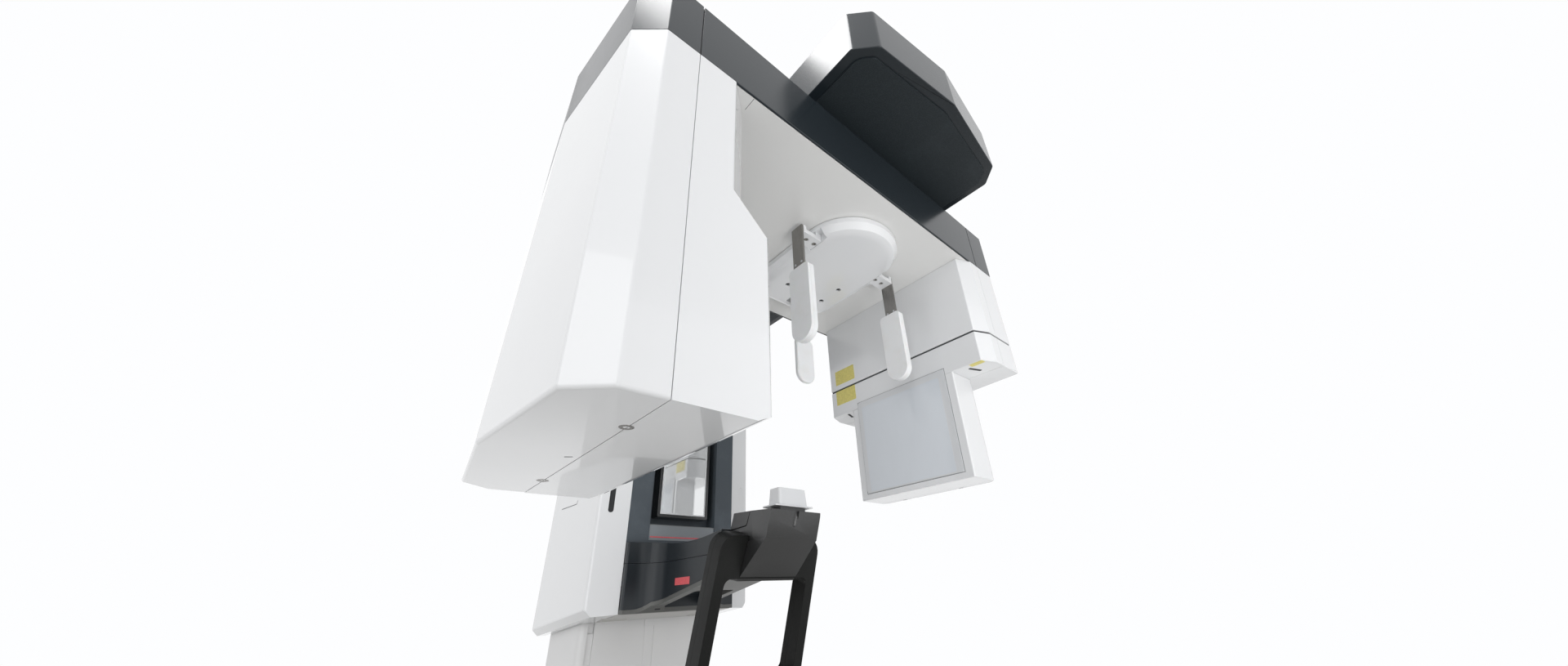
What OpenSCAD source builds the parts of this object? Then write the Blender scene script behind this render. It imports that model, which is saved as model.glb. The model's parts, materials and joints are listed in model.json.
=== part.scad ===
// Dental panoramic and cone-beam scanner: a floor column, a lifting carriage with mirror, chin rest
// and grips, a fixed upper arm, and a turning arm that carries the source and the flat detector.
// +X is the patient's right, +Y runs from the patient to the column, +Z is up.
// The origin is the middle of the floor anchors, on the floor.

/* [Floor plate] */
// Width of the floor plate
base_w = 700; // [560:10:900]
// Reach of the floor plate under the patient, ahead of the origin
base_front = 800; // [700:10:1000]
// Reach of the floor plate behind the origin
base_back = 212; // [200:1:216]
// Thickness of the floor plate
base_t = 16; // [10:1:25]
// Corner radius of the floor plate
base_r = 45; // [10:5:90]
// Distance between floor anchors, left to right
anchor_dx = 560; // [420:10:620]
// Distance between floor anchors, front to back
anchor_dy = 340; // [200:10:380]
// Diameter of the floor anchor holes
anchor_d = 14; // [8:1:20]

/* [Column] */
// Width of the column profile
col_w = 368; // [356:2:376]
// Depth of the column profile
col_d = 230; // [180:5:236]
// Front face of the column, ahead of the origin
col_front = 47; // [30:1:60]
// Height of the column's top above the floor
col_top = 2210; // [2150:10:2400]
// Wall of the column profile
col_wall = 5; // [3:0.5:8]
// Corner radius of the column profile
col_r = 18; // [6:1:30]
// Width of each guide slot
slot_w = 16; // [14:0.5:20]
// Distance of each guide slot's middle from the column's middle
slot_x = 156; // [120:1:160]
// Depth of the guide slots
slot_depth = 24; // [22:1:32]
// Width of the guide rails
rail_w = 7; // [5:0.5:8]
// Height of the guide rails above the slot's floor
rail_h = 8; // [5:0.5:12]
// Width of the slot for the lifting screw
screw_slot_w = 26; // [25:1:34]
// Depth of the slot for the lifting screw
screw_slot_depth = 30; // [28:1:40]
// Diameter of the lifting screw
screw_d = 18; // [12:1:20]
// Thickness of the column's cap
cap_t = 12; // [8:1:20]
// Diameter of the cable inlet in the column's back
inlet_d = 44; // [20:2:60]
// Height of the cable inlet above the floor
inlet_z = 140; // [100:5:300]
// Distance of the wall from the column's back
wall_gap = 38; // [34:1:60]
// Height of the wall bracket's middle
wall_z = 2080; // [1900:10:2100]
// Distance between the wall bracket's holes, left to right
wall_dx = 300; // [200:10:320]
// Distance between the wall bracket's holes, up and down
wall_dz = 50; // [30:5:60]

/* [Carriage] */
// Height of the carriage's lower front edge above the floor
car_z0 = 834; // [820:2:950]
// Height from that edge to the underside of the upper arm
car_h = 884; // [860:2:910]
// Distance from the column's front face to the carriage's front face
car_gap = 150; // [140:1:170]
// Distance from the column's side to the outside of a side shell
shell_gap = 44; // [38:1:60]
// How far the side shells reach behind the column
shell_back = 10; // [4:1:20]
// How far the outer edge of the shell's front facet stands back
shell_fold = 23; // [10:1:40]
// Wall of the side shells
shell_wall = 4; // [2.5:0.5:5]
// Drop of the carriage's bottom for each millimetre towards the back
car_slope = 0.115; // [0.05:0.001:0.2]
// Chamfer along the lower outer edge of the side shells
shell_cut = 16; // [8:1:24]
// Half width of the black front
front_hw = 155.5; // [150:0.5:170]
// Wall of the black front
front_wall = 4; // [2.5:0.5:5]
// Gap between the trims
trim_gap = 0.8; // [0.6:0.1:0.9]
// Half width of the mirror recess
recess_hw = 98; // [90:1:110]
// Depth of the mirror recess
recess_depth = 42; // [30:1:60]
// Height of the strip under the mirror
strip_h = 47; // [30:1:50]
// Height of the mirror recess
recess_h = 356; // [340:2:380]
// Half width of the mirror's frame
mirror_hw = 77; // [60:1:85]
// Height of the mirror's frame
mirror_h = 310; // [280:2:320]
// Rim of the mirror's frame
mirror_rim = 8; // [5:1:14]
// Thickness of the mirror's glass
mirror_t = 4; // [3:0.5:6]

/* [Support arm] */
// Height of the root block and of the arm's top above the carriage's lower edge
root_h = 157; // [146:1:170]
// How far the root block stands ahead of the black front
root_step = 15; // [8:1:24]
// Half width of the support arm
sup_hw = 75; // [66:1:84]
// Radius of the sweep between the root block and the arm
sup_sweep = 56; // [30:2:66]
// Height of the seam above the carriage's lower edge
sup_seam = 109; // [90:1:120]
// Height of the arm's underside above the carriage's lower edge, at the root block
sup_start = 11; // [4:1:20]
// Rise of the arm's underside for each millimetre towards the patient
sup_rise = 0.187; // [0.1:0.001:0.2]
// Thickness of the pale tray under the arm
tray_t = 9; // [6:0.5:12]
// Width of the tray's rim
tray_rim = 22; // [10:1:26]
// Distance of the emergency button ahead of the root block, under the arm
stop_reach = 134; // [110:2:140]
// Diameter of the emergency button
stop_d = 28; // [20:1:32]
// Travel of the emergency button
stop_travel = 4; // [3:0.5:6]

/* [Chin rest] */
// Distance of the chin head's upper front edge from the turning axis
chin_front = 138; // [130:1:150]
// Half width of the chin head at its front
chin_hw = 67; // [60:1:72]
// Half width of the chin head at its back
chin_back_hw = 53; // [50:1:60]
// Length of the chin head, front to back
chin_len = 163; // [150:1:180]
// Height of the chin head's upper front edge above the arm's top
chin_rise = 17; // [10:1:24]
// Slope of the chin head's top
chin_slope = 0.085; // [0:0.005:0.12]
// Height of the chin cup
cup_h = 38; // [25:1:45]
// Half width of the chin cup
cup_hw = 40; // [32:1:46]
// Depth of the chin cup, front to back
cup_d = 38; // [32:1:48]
// Diameter of the chin cup's post
post_d = 14; // [8:1:20]
// Length of the chin cup's post in its socket
post_len = 50; // [44:1:52]

/* [Grips] */
// Half width of the grip frame
grip_hw = 131; // [120:1:145]
// Width of each grip bar, seen from the front
grip_bar = 24; // [20:1:30]
// Depth of the grip frame
grip_d = 46; // [36:1:56]
// Length of the grip frame along its slope
grip_len = 300; // [260:5:340]
// Height of the grip frame's top bar
grip_top = 82; // [70:1:95]
// Lean of the grip frame from upright
grip_lean = 18.2; // [10:0.1:24]
// Outer corner radius of the grip frame
grip_r = 32; // [20:1:40]

/* [Upper arm] */
// Distance of the turning axis ahead of the origin
pivot_reach = 800; // [780:5:850]
// Half width of the upper arm
ua_hw = 242.5; // [236:0.5:255]
// Height of the upper arm
ua_h = 116; // [100:1:130]
// Reach of the upper arm's nose past the turning axis
ua_nose = 392; // [370:2:430]
// Wall of the upper arm's shell
ua_wall = 5; // [3:0.5:8]
// Gap between the turning arm and the upper arm
neck_gap = 42; // [36:1:60]
// Radius of the hollow shaft
shaft_r = 45; // [38:1:50]
// Wall of the hollow shaft
shaft_wall = 6; // [4:0.5:10]

/* [Turning arm] */
// Half width of the turning arm
arm_hw = 234.5; // [220:0.5:245]
// Height of the turning arm's band
arm_h = 126; // [110:1:140]
// Wall of the band
band_t = 4; // [3:0.5:6]
// Reach of the source end's point from the turning axis
tip_src = 596; // [580:1:620]
// Reach of the detector end's point from the turning axis
tip_det = 375; // [366:1:390]
// Distance of the source end's seam from the turning axis
seam_src = 486; // [470:1:500]
// Distance of the detector end's seam from the turning axis
seam_det = 291; // [280:1:310]

/* [Source] */
// Length of the source housing below the arm
src_len = 535; // [500:5:560]
// Distance of the housing's upper inner face from the turning axis
src_face = 386.4; // [375:0.2:400]
// Step of the housing's lower inner face towards the patient
src_step = 23.4; // [10:0.2:26]
// Height of the shoulder's top above the housing's bottom
src_shoulder = 307; // [250:1:350]
// Drop of the shoulder
src_shoulder_h = 58; // [30:1:80]
// Wall of the source shells
src_wall = 4; // [3:0.5:6]

/* [Detector] */
// Distance of the detector's face from the turning axis
det_face = 222; // [210:1:236]
// Height of the detector's upper housing
det_upper_h = 197; // [180:1:210]
// Gap between the detector's upper and lower housing
det_gap = 4; // [3:0.5:8]
// Height of the detector's lower housing
det_lower_h = 71; // [60:1:80]
// Wall of the detector shells
det_wall = 4; // [3:0.5:6]
// Half width of the sensor case
sen_hw = 148.5; // [130:0.5:160]
// Depth of the sensor case
sen_d = 88; // [70:1:92]
// Height of the sensor case below its housing
sen_h = 231; // [200:1:240]
// Half width of the sensor's window
win_hw = 128.5; // [110:0.5:128.5]
// Height of the sensor's window
win_h = 231; // [200:1:236]
// Travel of the sensor to each side
sen_travel = 40; // [20:1:45]

/* [Head support] */
// Radius of the head plate's round end
plate_r = 117; // [110:1:122]
// Distance of the round end's centre from the turning axis, away from the column
plate_back = 65; // [55:1:75]
// Reach of the head plate towards the column, from the turning axis
plate_front = 160; // [150:1:175]
// Thickness of the head plate
plate_t = 33; // [28:1:40]
// How far the plate's bottom is drawn in
plate_in = 27; // [15:1:34]
// Distance of each temple bar's outside from the middle
bar_x = 151; // [140:1:156]
// Thickness of the temple bars
bar_t = 5; // [3:0.5:8]
// Width of the temple bars
bar_w = 31; // [24:1:36]
// Height of the temple pads
pad_h = 168; // [150:1:180]
// Width of the temple pads
pad_w = 56; // [50:1:70]
// Thickness of the temple pads
pad_t = 17; // [14:1:26]
// Depth of the pads' top below the turning arm
pad_drop = 114; // [100:1:130]
// Inward travel of each temple rest
temple_in = 50; // [30:1:55]
// Outward travel of each temple rest
temple_out = 8; // [2:1:10]
// Height of the temple blocks
block_h = 19; // [16:1:21]
// Width of the temple blocks
block_w = 34; // [28:1:38]
// Skin of the head plate under the temple blocks' guides
plate_skin = 4.5; // [3:0.5:6]
// Distance of the forehead pad's front from the turning axis
brow_y = 84; // [76:1:100]
// Half width of the forehead pad
brow_hw = 26; // [22:1:40]
// Thickness of the forehead pad
brow_t = 12; // [8:1:20]
// Height of the forehead pad
brow_h = 112; // [80:1:130]
// Depth of the forehead pad's bottom below the turning arm
brow_drop = 272; // [240:1:290]
// Travel of the forehead rest each way
brow_travel = 18; // [10:1:20]

/* [Fits] */
// Gap between pieces that slide past each other
slide_gap = 0.4; // [0.3:0.05:0.6]
// Gap between pieces that stand still beside each other
seat_gap = 0.3; // [0.2:0.05:0.5]
// Running gap round the hollow shaft's bearing collar
bearing_gap = 0.08; // [0.04:0.01:0.1]

/* [Hidden] */
$fn = 64;
eps = 0.01;

// Places along Y
col_y0 = -col_front;
col_y1 = col_y0 + col_d;
car_y0 = col_y0 - car_gap;
car_y1 = col_y1 + shell_back;
wall_y = col_y1 + wall_gap;
pivot_y = -pivot_reach;
root_y0 = car_y0 - root_step;
chin_y0 = pivot_y + chin_front;
chin_y1 = chin_y0 + chin_len;
frame_t = 10;
frame_y1 = col_y0 - 3;
frame_y0 = frame_y1 - frame_t;
screw_y = col_y0 + screw_slot_depth - screw_d / 2 - 6;

// Heights
ua_z0 = car_z0 + car_h;
ua_z1 = ua_z0 + ua_h;
arm_z1 = ua_z0 - neck_gap;
arm_z0 = arm_z1 - arm_h;
src_z0 = arm_z0 - src_len;
det_z1 = arm_z0 - det_upper_h;
sen_z2 = det_z1 - det_gap;
sen_z1 = sen_z2 - det_lower_h;
sen_z0 = sen_z1 - sen_h;
root_z1 = car_z0 + root_h;
seam_z = car_z0 + sup_seam;
strip_z1 = root_z1 + strip_h;
recess_z1 = strip_z1 + recess_h;
mirror_z0 = strip_z1 + 20;
plate_z1 = arm_z0 - 1.5;
plate_z0 = plate_z1 - plate_t;
pad_z1 = arm_z0 - pad_drop;
chin_z1 = root_z1 + chin_rise;
cup_z = chin_z1 + 9;

// Widths
col_hw = col_w / 2;
shell_hw = col_hw + shell_gap;
block_x0 = 81;

// Outlines of the turning parts, measured from the turning axis
end_chamfer = 37;
tip_back = 20.6;
nose_back = 26;
arm_plan = [
  [-tip_src, 0], [-tip_src + tip_back, -arm_hw + 32.8], [-tip_src + 59, -arm_hw],
  [tip_det - 14.5, -arm_hw], [tip_det, 0], [tip_det - 14.5, arm_hw],
  [-tip_src + 59, arm_hw], [-tip_src + tip_back, arm_hw - 32.8]
];
src_upper_plan = [
  [-tip_src, 0], [-tip_src + tip_back, -arm_hw + 32.8], [-tip_src + 59, -arm_hw],
  [-src_face - end_chamfer, -arm_hw], [-src_face, -arm_hw + end_chamfer],
  [-src_face, arm_hw - end_chamfer], [-src_face - end_chamfer, arm_hw],
  [-tip_src + 59, arm_hw], [-tip_src + tip_back, arm_hw - 32.8]
];
src_lower_plan = [
  [-tip_src, 0], [-tip_src + tip_back, -arm_hw + 32.8], [-tip_src + 59, -arm_hw],
  [-src_face + src_step - 6, -arm_hw], [-src_face + src_step, -arm_hw + 6],
  [-src_face + src_step, arm_hw - 6], [-src_face + src_step - 6, arm_hw],
  [-tip_src + 59, arm_hw], [-tip_src + tip_back, arm_hw - 32.8]
];
det_plan = [
  [det_face, -arm_hw + 16.5], [det_face + 40, -arm_hw], [tip_det - 14.5, -arm_hw], [tip_det, 0],
  [tip_det - 14.5, arm_hw], [det_face + 40, arm_hw], [det_face, arm_hw - 16.5]
];
ua_plan = [
  [0, pivot_y - ua_nose], [ua_hw - 36.5, pivot_y - ua_nose + nose_back],
  [ua_hw, pivot_y - ua_nose + nose_back + 38], [ua_hw, car_y1],
  [-ua_hw, car_y1], [-ua_hw, pivot_y - ua_nose + nose_back + 38],
  [-ua_hw + 36.5, pivot_y - ua_nose + nose_back]
];
// Outline of the carriage, seen from above
car_plan = [
  [-shell_hw, car_y0 + shell_fold], [-front_hw, car_y0], [front_hw, car_y0],
  [shell_hw, car_y0 + shell_fold], [shell_hw, car_y1], [-shell_hw, car_y1]
];

function unit(v) = v / norm(v);
// Outline drawn in by d; its points run anticlockwise
function inset(pts, d) = [
  for (i = [0:len(pts) - 1])
    let (
      n = len(pts),
      a = unit(pts[i] - pts[(i + n - 1) % n]),
      b = unit(pts[(i + 1) % n] - pts[i]),
      na = [a.y, -a.x],
      nb = [b.y, -b.x]
    )
    pts[i] - d * (na + nb) / (1 + na * nb)
];
// Points of the arc that rounds corner q between p and s with radius r
function corner(p, q, s, r, n) =
  let (
    u = unit(p - q),
    v = unit(s - q),
    half = acos(u * v) / 2,
    c = q + unit(u + v) * r / sin(half),
    t = r / tan(half),
    p0 = q + u * t - c,
    p1 = q + v * t - c,
    a0 = atan2(p0.y, p0.x),
    turn = atan2(p0.x * p1.y - p0.y * p1.x, p0 * p1)
  )
  [for (i = [0:n]) c + r * [cos(a0 + turn * i / n), sin(a0 + turn * i / n)]];
// Outline with every corner rounded by the radius in r, a number or one number for each corner
function rounded(pts, r, n = 4) = [
  for (i = [0:len(pts) - 1])
    let (m = len(pts), ri = is_list(r) ? r[i] : r)
    each (ri > 0 ? corner(pts[(i + m - 1) % m], pts[i], pts[(i + 1) % m], ri, n) : [pts[i]])
];
function rect(x0, y0, x1, y1) = [[x0, y0], [x1, y0], [x1, y1], [x0, y1]];

module box(x0, x1, y0, y1, z0, z1) {
  translate([x0, y0, z0]) cube([x1 - x0, y1 - y0, z1 - z0]);
}
// Upright prism of an outline
module slab(pts, z0, z1) {
  translate([0, 0, z0]) linear_extrude(z1 - z0) polygon(pts);
}
// Prism of an outline in the plane of Y and Z, from x0 to x1
module side_slab(pts, x0, x1) {
  translate([x0, 0, 0]) rotate([90, 0, 90]) linear_extrude(x1 - x0) polygon(pts);
}
// Prism of an outline in the plane of X and Z, from y0 to y1
module front_slab(pts, y0, y1) {
  translate([0, y1, 0]) rotate([90, 0, 0]) linear_extrude(y1 - y0) polygon(pts);
}
module at_pivot() {
  translate([0, pivot_y, 0]) children();
}
module both_sides() {
  children();
  mirror([1, 0, 0]) children();
}

module anchor_holes() {
  for (x = [-1, 1], y = [-1, 1])
    translate([x * anchor_dx / 2, y * anchor_dy / 2, -eps]) cylinder(d = anchor_d, h = base_t + 1);
}
module base_plate() {
  neck = 110;
  outline = [
    [-base_w / 2 + neck, -base_front], [base_w / 2 - neck, -base_front],
    [base_w / 2, -base_front / 2], [base_w / 2, base_back],
    [-base_w / 2, base_back], [-base_w / 2, -base_front / 2]
  ];
  color("gainsboro") difference() {
    slab(rounded(outline, [base_r, base_r, 2 * base_r, base_r, base_r, 2 * base_r], 6), 0, base_t);
    anchor_holes();
  }
}

module column_outline(d = 0) {
  polygon(rounded(inset(rect(-col_hw, col_y0, col_hw, col_y1), d), max(col_r - d, 2), 6));
}
module column_slots(grow) {
  for (s = [-1, 1])
    translate([s * slot_x - slot_w / 2 - grow, col_y0 - eps])
      square([slot_w + 2 * grow, slot_depth + grow + eps]);
  translate([-screw_slot_w / 2 - grow, col_y0 - eps])
    square([screw_slot_w + 2 * grow, screw_slot_depth + grow + eps]);
}
module column() {
  color("whitesmoke") difference() {
    translate([0, 0, base_t]) linear_extrude(col_top - base_t) difference() {
      column_outline();
      column_slots(0);
      difference() {
        column_outline(col_wall);
        column_slots(col_wall);
      }
    }
    translate([0, col_y1 + 1, inlet_z]) rotate([90, 0, 0]) cylinder(d = inlet_d, h = col_wall + 2);
  }
}
module column_cap() {
  skirt_h = 14;
  skirt_t = 4;
  color("whitesmoke") union() {
    translate([0, 0, col_top]) linear_extrude(cap_t) column_outline();
    translate([0, 0, col_top - skirt_h]) linear_extrude(skirt_h + eps) difference() {
      column_outline(col_wall + seat_gap);
      column_slots(col_wall + seat_gap);
      column_outline(col_wall + seat_gap + skirt_t);
    }
  }
}
module guide_rails() {
  floor_y = col_y0 + slot_depth;
  color("silver") both_sides()
    box(slot_x - rail_w / 2, slot_x + rail_w / 2, floor_y - rail_h, floor_y, base_t + 40, col_top - 12);
}
module lift_screw() {
  journal = 40;
  color("silver") union() {
    translate([0, screw_y, base_t]) cylinder(d = screw_d, h = col_top - base_t);
    translate([0, screw_y, base_t]) cylinder(d = screw_d + 5, h = journal);
    translate([0, screw_y, col_top - journal]) cylinder(d = screw_d + 5, h = journal);
  }
}
module wall_bracket() {
  plate_h = wall_dz + 34;
  plate_hw = min(wall_dx / 2 + 18, col_hw - 10);
  t = 6;
  z0 = wall_z - plate_h / 2;
  color("gainsboro") difference() {
    union() {
      box(-plate_hw, plate_hw, wall_y - t, wall_y, z0, z0 + plate_h);
      box(-plate_hw + 40, plate_hw - 40, col_y1, col_y1 + t, z0, z0 + plate_h);
      both_sides() box(plate_hw - 46, plate_hw - 40, col_y1, wall_y, z0, z0 + plate_h);
    }
    for (x = [-1, 1], z = [-1, 1])
      translate([x * wall_dx / 2, wall_y + 1, wall_z + z * wall_dz / 2])
        rotate([90, 0, 0]) cylinder(d = 10, h = t + 2);
  }
}

// Height of the carriage's sloping bottom at y, at a distance up from it
function car_bottom(y, up = 0) = car_z0 + up - car_slope * (y - car_y0);
// Space above the carriage's bottom, raised by up, and below z1
module above_bottom(up, z1) {
  far = shell_hw + 40;
  y0 = car_y0 - 300;
  y1 = car_y1 + 50;
  side_slab([[y0, car_bottom(y0, up)], [y1, car_bottom(y1, up)], [y1, z1], [y0, z1]], -far, far);
}
// Space inside the slanting plane that cuts a shell's lower outer edge, moved in by d
module edge_cut(d) {
  far = 900;
  lean = [-1, car_slope, 1];
  translate([shell_hw - d, car_y0, car_z0 + shell_cut])
    rotate([0, acos(1 / norm(lean)), atan2(lean[1], lean[0])])
      translate([0, 0, far]) cube([4 * far, 4 * far, 2 * far], center = true);
}
module side_shell() {
  top = ua_z0 - 4;
  facet_w = shell_hw - front_hw;
  facet_x = front_hw + 44;
  vent_hw = 6.5;
  vent_z0 = root_z1 + 71;
  vent_h = 100;
  open_y = car_y1 + 60;
  cavity = [
    [-shell_hw + shell_wall, car_y0 + shell_fold + shell_wall], [-front_hw, car_y0 + shell_wall],
    [front_hw, car_y0 + shell_wall], [shell_hw - shell_wall, car_y0 + shell_fold + shell_wall],
    [shell_hw - shell_wall, open_y], [-shell_hw + shell_wall, open_y]
  ];
  difference() {
    intersection() {
      slab(rounded(car_plan, [10, 0, 0, 10, 4, 4]), car_z0 - 120, top);
      above_bottom(0, top + 1);
      box(front_hw + trim_gap, shell_hw + 1, car_y0 - 1, car_y1 + 1, car_z0 - 120, top + 1);
      edge_cut(0);
    }
    intersection() {
      slab(cavity, car_z0 - 120, top - shell_wall);
      above_bottom(shell_wall, top - shell_wall);
      edge_cut(1.4 * shell_wall);
    }
    box(0, col_hw + 5, frame_y0 - seat_gap, car_y1 + 60, car_z0 - 120, top + 1);
    translate([facet_x, car_y0 + shell_fold * (facet_x - front_hw) / facet_w, 0])
      rotate([0, 0, atan2(shell_fold, facet_w)])
        front_slab(rounded(rect(-vent_hw, vent_z0, vent_hw, vent_z0 + vent_h), vent_hw - 0.1, 6), -9, 9);
  }
}
module right_side_shell() {
  color("ghostwhite") side_shell();
}
module left_side_shell() {
  color("ghostwhite") mirror([1, 0, 0]) side_shell();
}
module carriage_frame() {
  hw = shell_hw - shell_wall - seat_gap;
  z0 = car_z0 + 24;
  top = ua_z0 + ua_wall + ua_h - 22;
  color("slategray") union() {
    both_sides() box(slot_x - 18, slot_x + 18, frame_y0, frame_y1, z0, top);
    for (z = [z0, z0 + 290, z0 + 570, ua_z0 - 60]) box(-hw, hw, frame_y0, frame_y1, z, z + 40);
    box(-slot_x, slot_x, frame_y0, frame_y1, ua_z0 + 6, top);
  }
}
module guide_blocks() {
  block_l = 70;
  hw = slot_w / 2 - slide_gap;
  y1 = col_y0 + slot_depth - slide_gap;
  color("dimgray") both_sides() for (share = [0.07, 0.51, 0.92])
    translate([0, 0, car_z0 + share * car_h]) difference() {
      box(slot_x - hw, slot_x + hw, frame_y1, y1, 0, block_l);
      box(
        slot_x - rail_w / 2 - slide_gap, slot_x + rail_w / 2 + slide_gap,
        col_y0 + slot_depth - rail_h - slide_gap, y1 + 1, -1, block_l + 1
      );
    }
}
module lift_drive() {
  z0 = car_z0 + 24;
  box_h = 92;
  box_hw = 52;
  nut_z = z0 + 48;
  nut_h = 36;
  nut_r = screw_slot_w / 2 - slide_gap - 0.5;
  color("dimgray") difference() {
    union() {
      box(-box_hw, box_hw, frame_y0 - 72, frame_y0, z0, z0 + box_h);
      translate([0, frame_y0 - 36, z0 + box_h - eps]) cylinder(d = 56, h = root_z1 - z0 - box_h - 8);
      box(-8, 8, frame_y0 - 1, screw_y, nut_z, nut_z + nut_h);
      translate([0, screw_y, nut_z]) cylinder(r = nut_r, h = nut_h);
    }
    translate([0, screw_y, nut_z - 1]) cylinder(d = screw_d + 2 * slide_gap, h = nut_h + 2);
  }
}
module front_panel() {
  z0 = root_z1 + trim_gap;
  top = ua_z0 - 4;
  back = frame_y0 - seat_gap;
  color("darkslategray") difference() {
    union() {
      difference() {
        box(-front_hw, front_hw, car_y0, back, z0, top);
        box(
          -front_hw + front_wall, front_hw - front_wall, car_y0 + front_wall, back + 1,
          z0 + front_wall, top + 1
        );
      }
      box(
        -recess_hw - front_wall, recess_hw + front_wall, car_y0, car_y0 + recess_depth + front_wall,
        z0, recess_z1 + front_wall
      );
    }
    front_slab(
      rounded(rect(-recess_hw, strip_z1, recess_hw, recess_z1), 3), car_y0 - 1, car_y0 + recess_depth
    );
    box(-recess_hw, recess_hw, car_y0 - 1, car_y0 + 6, root_z1 + 8, strip_z1 + 1);
  }
}
module name_strip() {
  color("dimgray")
    front_slab(
      rounded(rect(-recess_hw + seat_gap, root_z1 + 8 + seat_gap, recess_hw - seat_gap, strip_z1), 1.5),
      car_y0 + 2, car_y0 + 6
    );
}
module mirror_frame() {
  back = car_y0 + recess_depth;
  outer = rect(-mirror_hw, mirror_z0, mirror_hw, mirror_z0 + mirror_h);
  color("black") difference() {
    front_slab(rounded(outer, 5), car_y0 + 6, back);
    front_slab(rounded(inset(outer, mirror_rim), 2), car_y0 + 5, car_y0 + 8 + mirror_t);
  }
}
module mirror_glass() {
  outer = rect(-mirror_hw, mirror_z0, mirror_hw, mirror_z0 + mirror_h);
  color("lightsteelblue")
    front_slab(rounded(inset(outer, mirror_rim + seat_gap), 2), car_y0 + 8, car_y0 + 8 + mirror_t);
}
module bottom_tray() {
  hw = front_hw - seat_gap;
  t = tray_t;
  y1 = frame_y0 - 10;
  color("lightgray") union() {
    side_slab(
      [
        [car_y0, car_bottom(car_y0) - 1], [y1, car_bottom(y1) - 1],
        [y1, car_bottom(y1, t) - 1], [car_y0, car_bottom(car_y0, t) - 1]
      ],
      -hw, hw
    );
    both_sides() box(90, hw, y1 - 30, frame_y0, car_bottom(y1), car_z0 + 60);
  }
}

// Height of the support arm's underside at y, raised by up
function sup_bottom(y, up = 0) =
  car_z0 + up + (y < root_y0 ? sup_start + sup_rise * (root_y0 - y) : 0);
// Points of that underside from y0 to y1, with the step down to the root block's own bottom
function sup_line(y0, y1, up) = [
  [y0, sup_bottom(y0, up)], [root_y0 - sup_ramp, sup_bottom(root_y0 - sup_ramp, up)],
  [root_y0, car_z0 + up], [y1, car_z0 + up]
];
sup_ramp = 16;
sup_y0 = chin_y1 + seat_gap;
sup_plan = rounded(
  [
    [-front_hw, car_y0 - seat_gap], [-front_hw, root_y0], [-sup_hw, root_y0], [-sup_hw, sup_y0],
    [sup_hw, sup_y0], [sup_hw, root_y0], [front_hw, root_y0], [front_hw, car_y0 - seat_gap]
  ],
  [0, 4, sup_sweep, 0, 0, sup_sweep, 4, 0], 8
);
// The slice of the arm between its rising underside, raised by low, and the height z1
module sup_slice(low, z1) {
  y0 = sup_y0 - 1;
  y1 = car_y0 + 10;
  intersection() {
    slab(sup_plan, car_z0 - 20, z1);
    side_slab(concat(sup_line(y0, y1, low), [[y1, z1], [y0, z1]]), -front_hw - 1, front_hw + 1);
  }
}
module support_arm() {
  lug_hw = 18;
  color("darkslategray") union() {
    slab(sup_plan, seam_z, root_z1);
    both_sides() box(slot_x - lug_hw, front_hw - 4, root_y0 + 6, frame_y0, seam_z, root_z1 - 8);
  }
}
// The recess in the arm's underside, where the emergency button hangs
dip_depth = 14;
dip_hw = sup_hw - tray_rim;
dip_y0 = root_y0 - stop_reach - 20;
dip_y1 = root_y0 - 2;
module support_arm_belly() {
  roof = tray_t + dip_depth;
  color("darkslategray") difference() {
    sup_slice(tray_t, seam_z - trim_gap);
    side_slab(
      [
        [dip_y0, sup_bottom(dip_y0, roof)], [dip_y1, sup_bottom(dip_y1, roof)],
        [dip_y1, car_z0 - 20], [dip_y0, car_z0 - 20]
      ],
      -dip_hw, dip_hw
    );
    stop_axis() translate([0, 0, -stop_seat - stop_room]) cylinder(d = stop_bore, h = stop_room + 1);
    stop_axis() translate([0, 0, -stop_seat]) cylinder(d = stop_collar_d + 2 * seat_gap, h = stop_collar_h);
  }
}
module support_arm_tray() {
  y1 = car_y0 - seat_gap;
  low = sup_line(sup_y0, y1, 0);
  high = sup_line(sup_y0, y1, tray_t);
  color("lightgray") difference() {
    intersection() {
      slab(sup_plan, car_z0 - 20, seam_z);
      side_slab(concat(low, [high[3], high[2], high[1], high[0]]), -front_hw - 1, front_hw + 1);
    }
    slab(rounded(rect(-dip_hw, dip_y0, dip_hw, dip_y1), 8), car_z0 - 20, seam_z);
  }
}
stop_stem = 12;
stop_bore = stop_stem + 2 * slide_gap;
stop_collar_d = 24;
stop_collar_h = 18;
stop_seat = 5;
stop_room = stop_travel + 6;
// Line of the emergency button: its own Z comes down out of the recess in the arm's underside
module stop_axis() {
  y = root_y0 - stop_reach;
  translate([0, y, sup_bottom(y, tray_t + dip_depth)]) rotate([180, 0, 0]) children();
}
module emergency_collar() {
  color("black") stop_axis() difference() {
    translate([0, 0, -stop_seat]) cylinder(d = stop_collar_d, h = stop_seat + stop_collar_h);
    translate([0, 0, -stop_seat - 1]) cylinder(d = stop_bore, h = stop_seat + stop_collar_h + 2);
  }
}
module emergency_button() {
  r = stop_d / 2;
  head_z = stop_collar_h + stop_travel + seat_gap;
  color("red") stop_axis() union() {
    translate([0, 0, -stop_seat - 4]) cylinder(d = stop_stem, h = head_z + 1 + stop_seat + 4);
    translate([0, 0, head_z])
      rotate_extrude() polygon([[0, 0], [r - 1, 0], [r, 1.5], [r - 1, 6], [r / 2, 10], [0, 11]]);
  }
}

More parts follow.
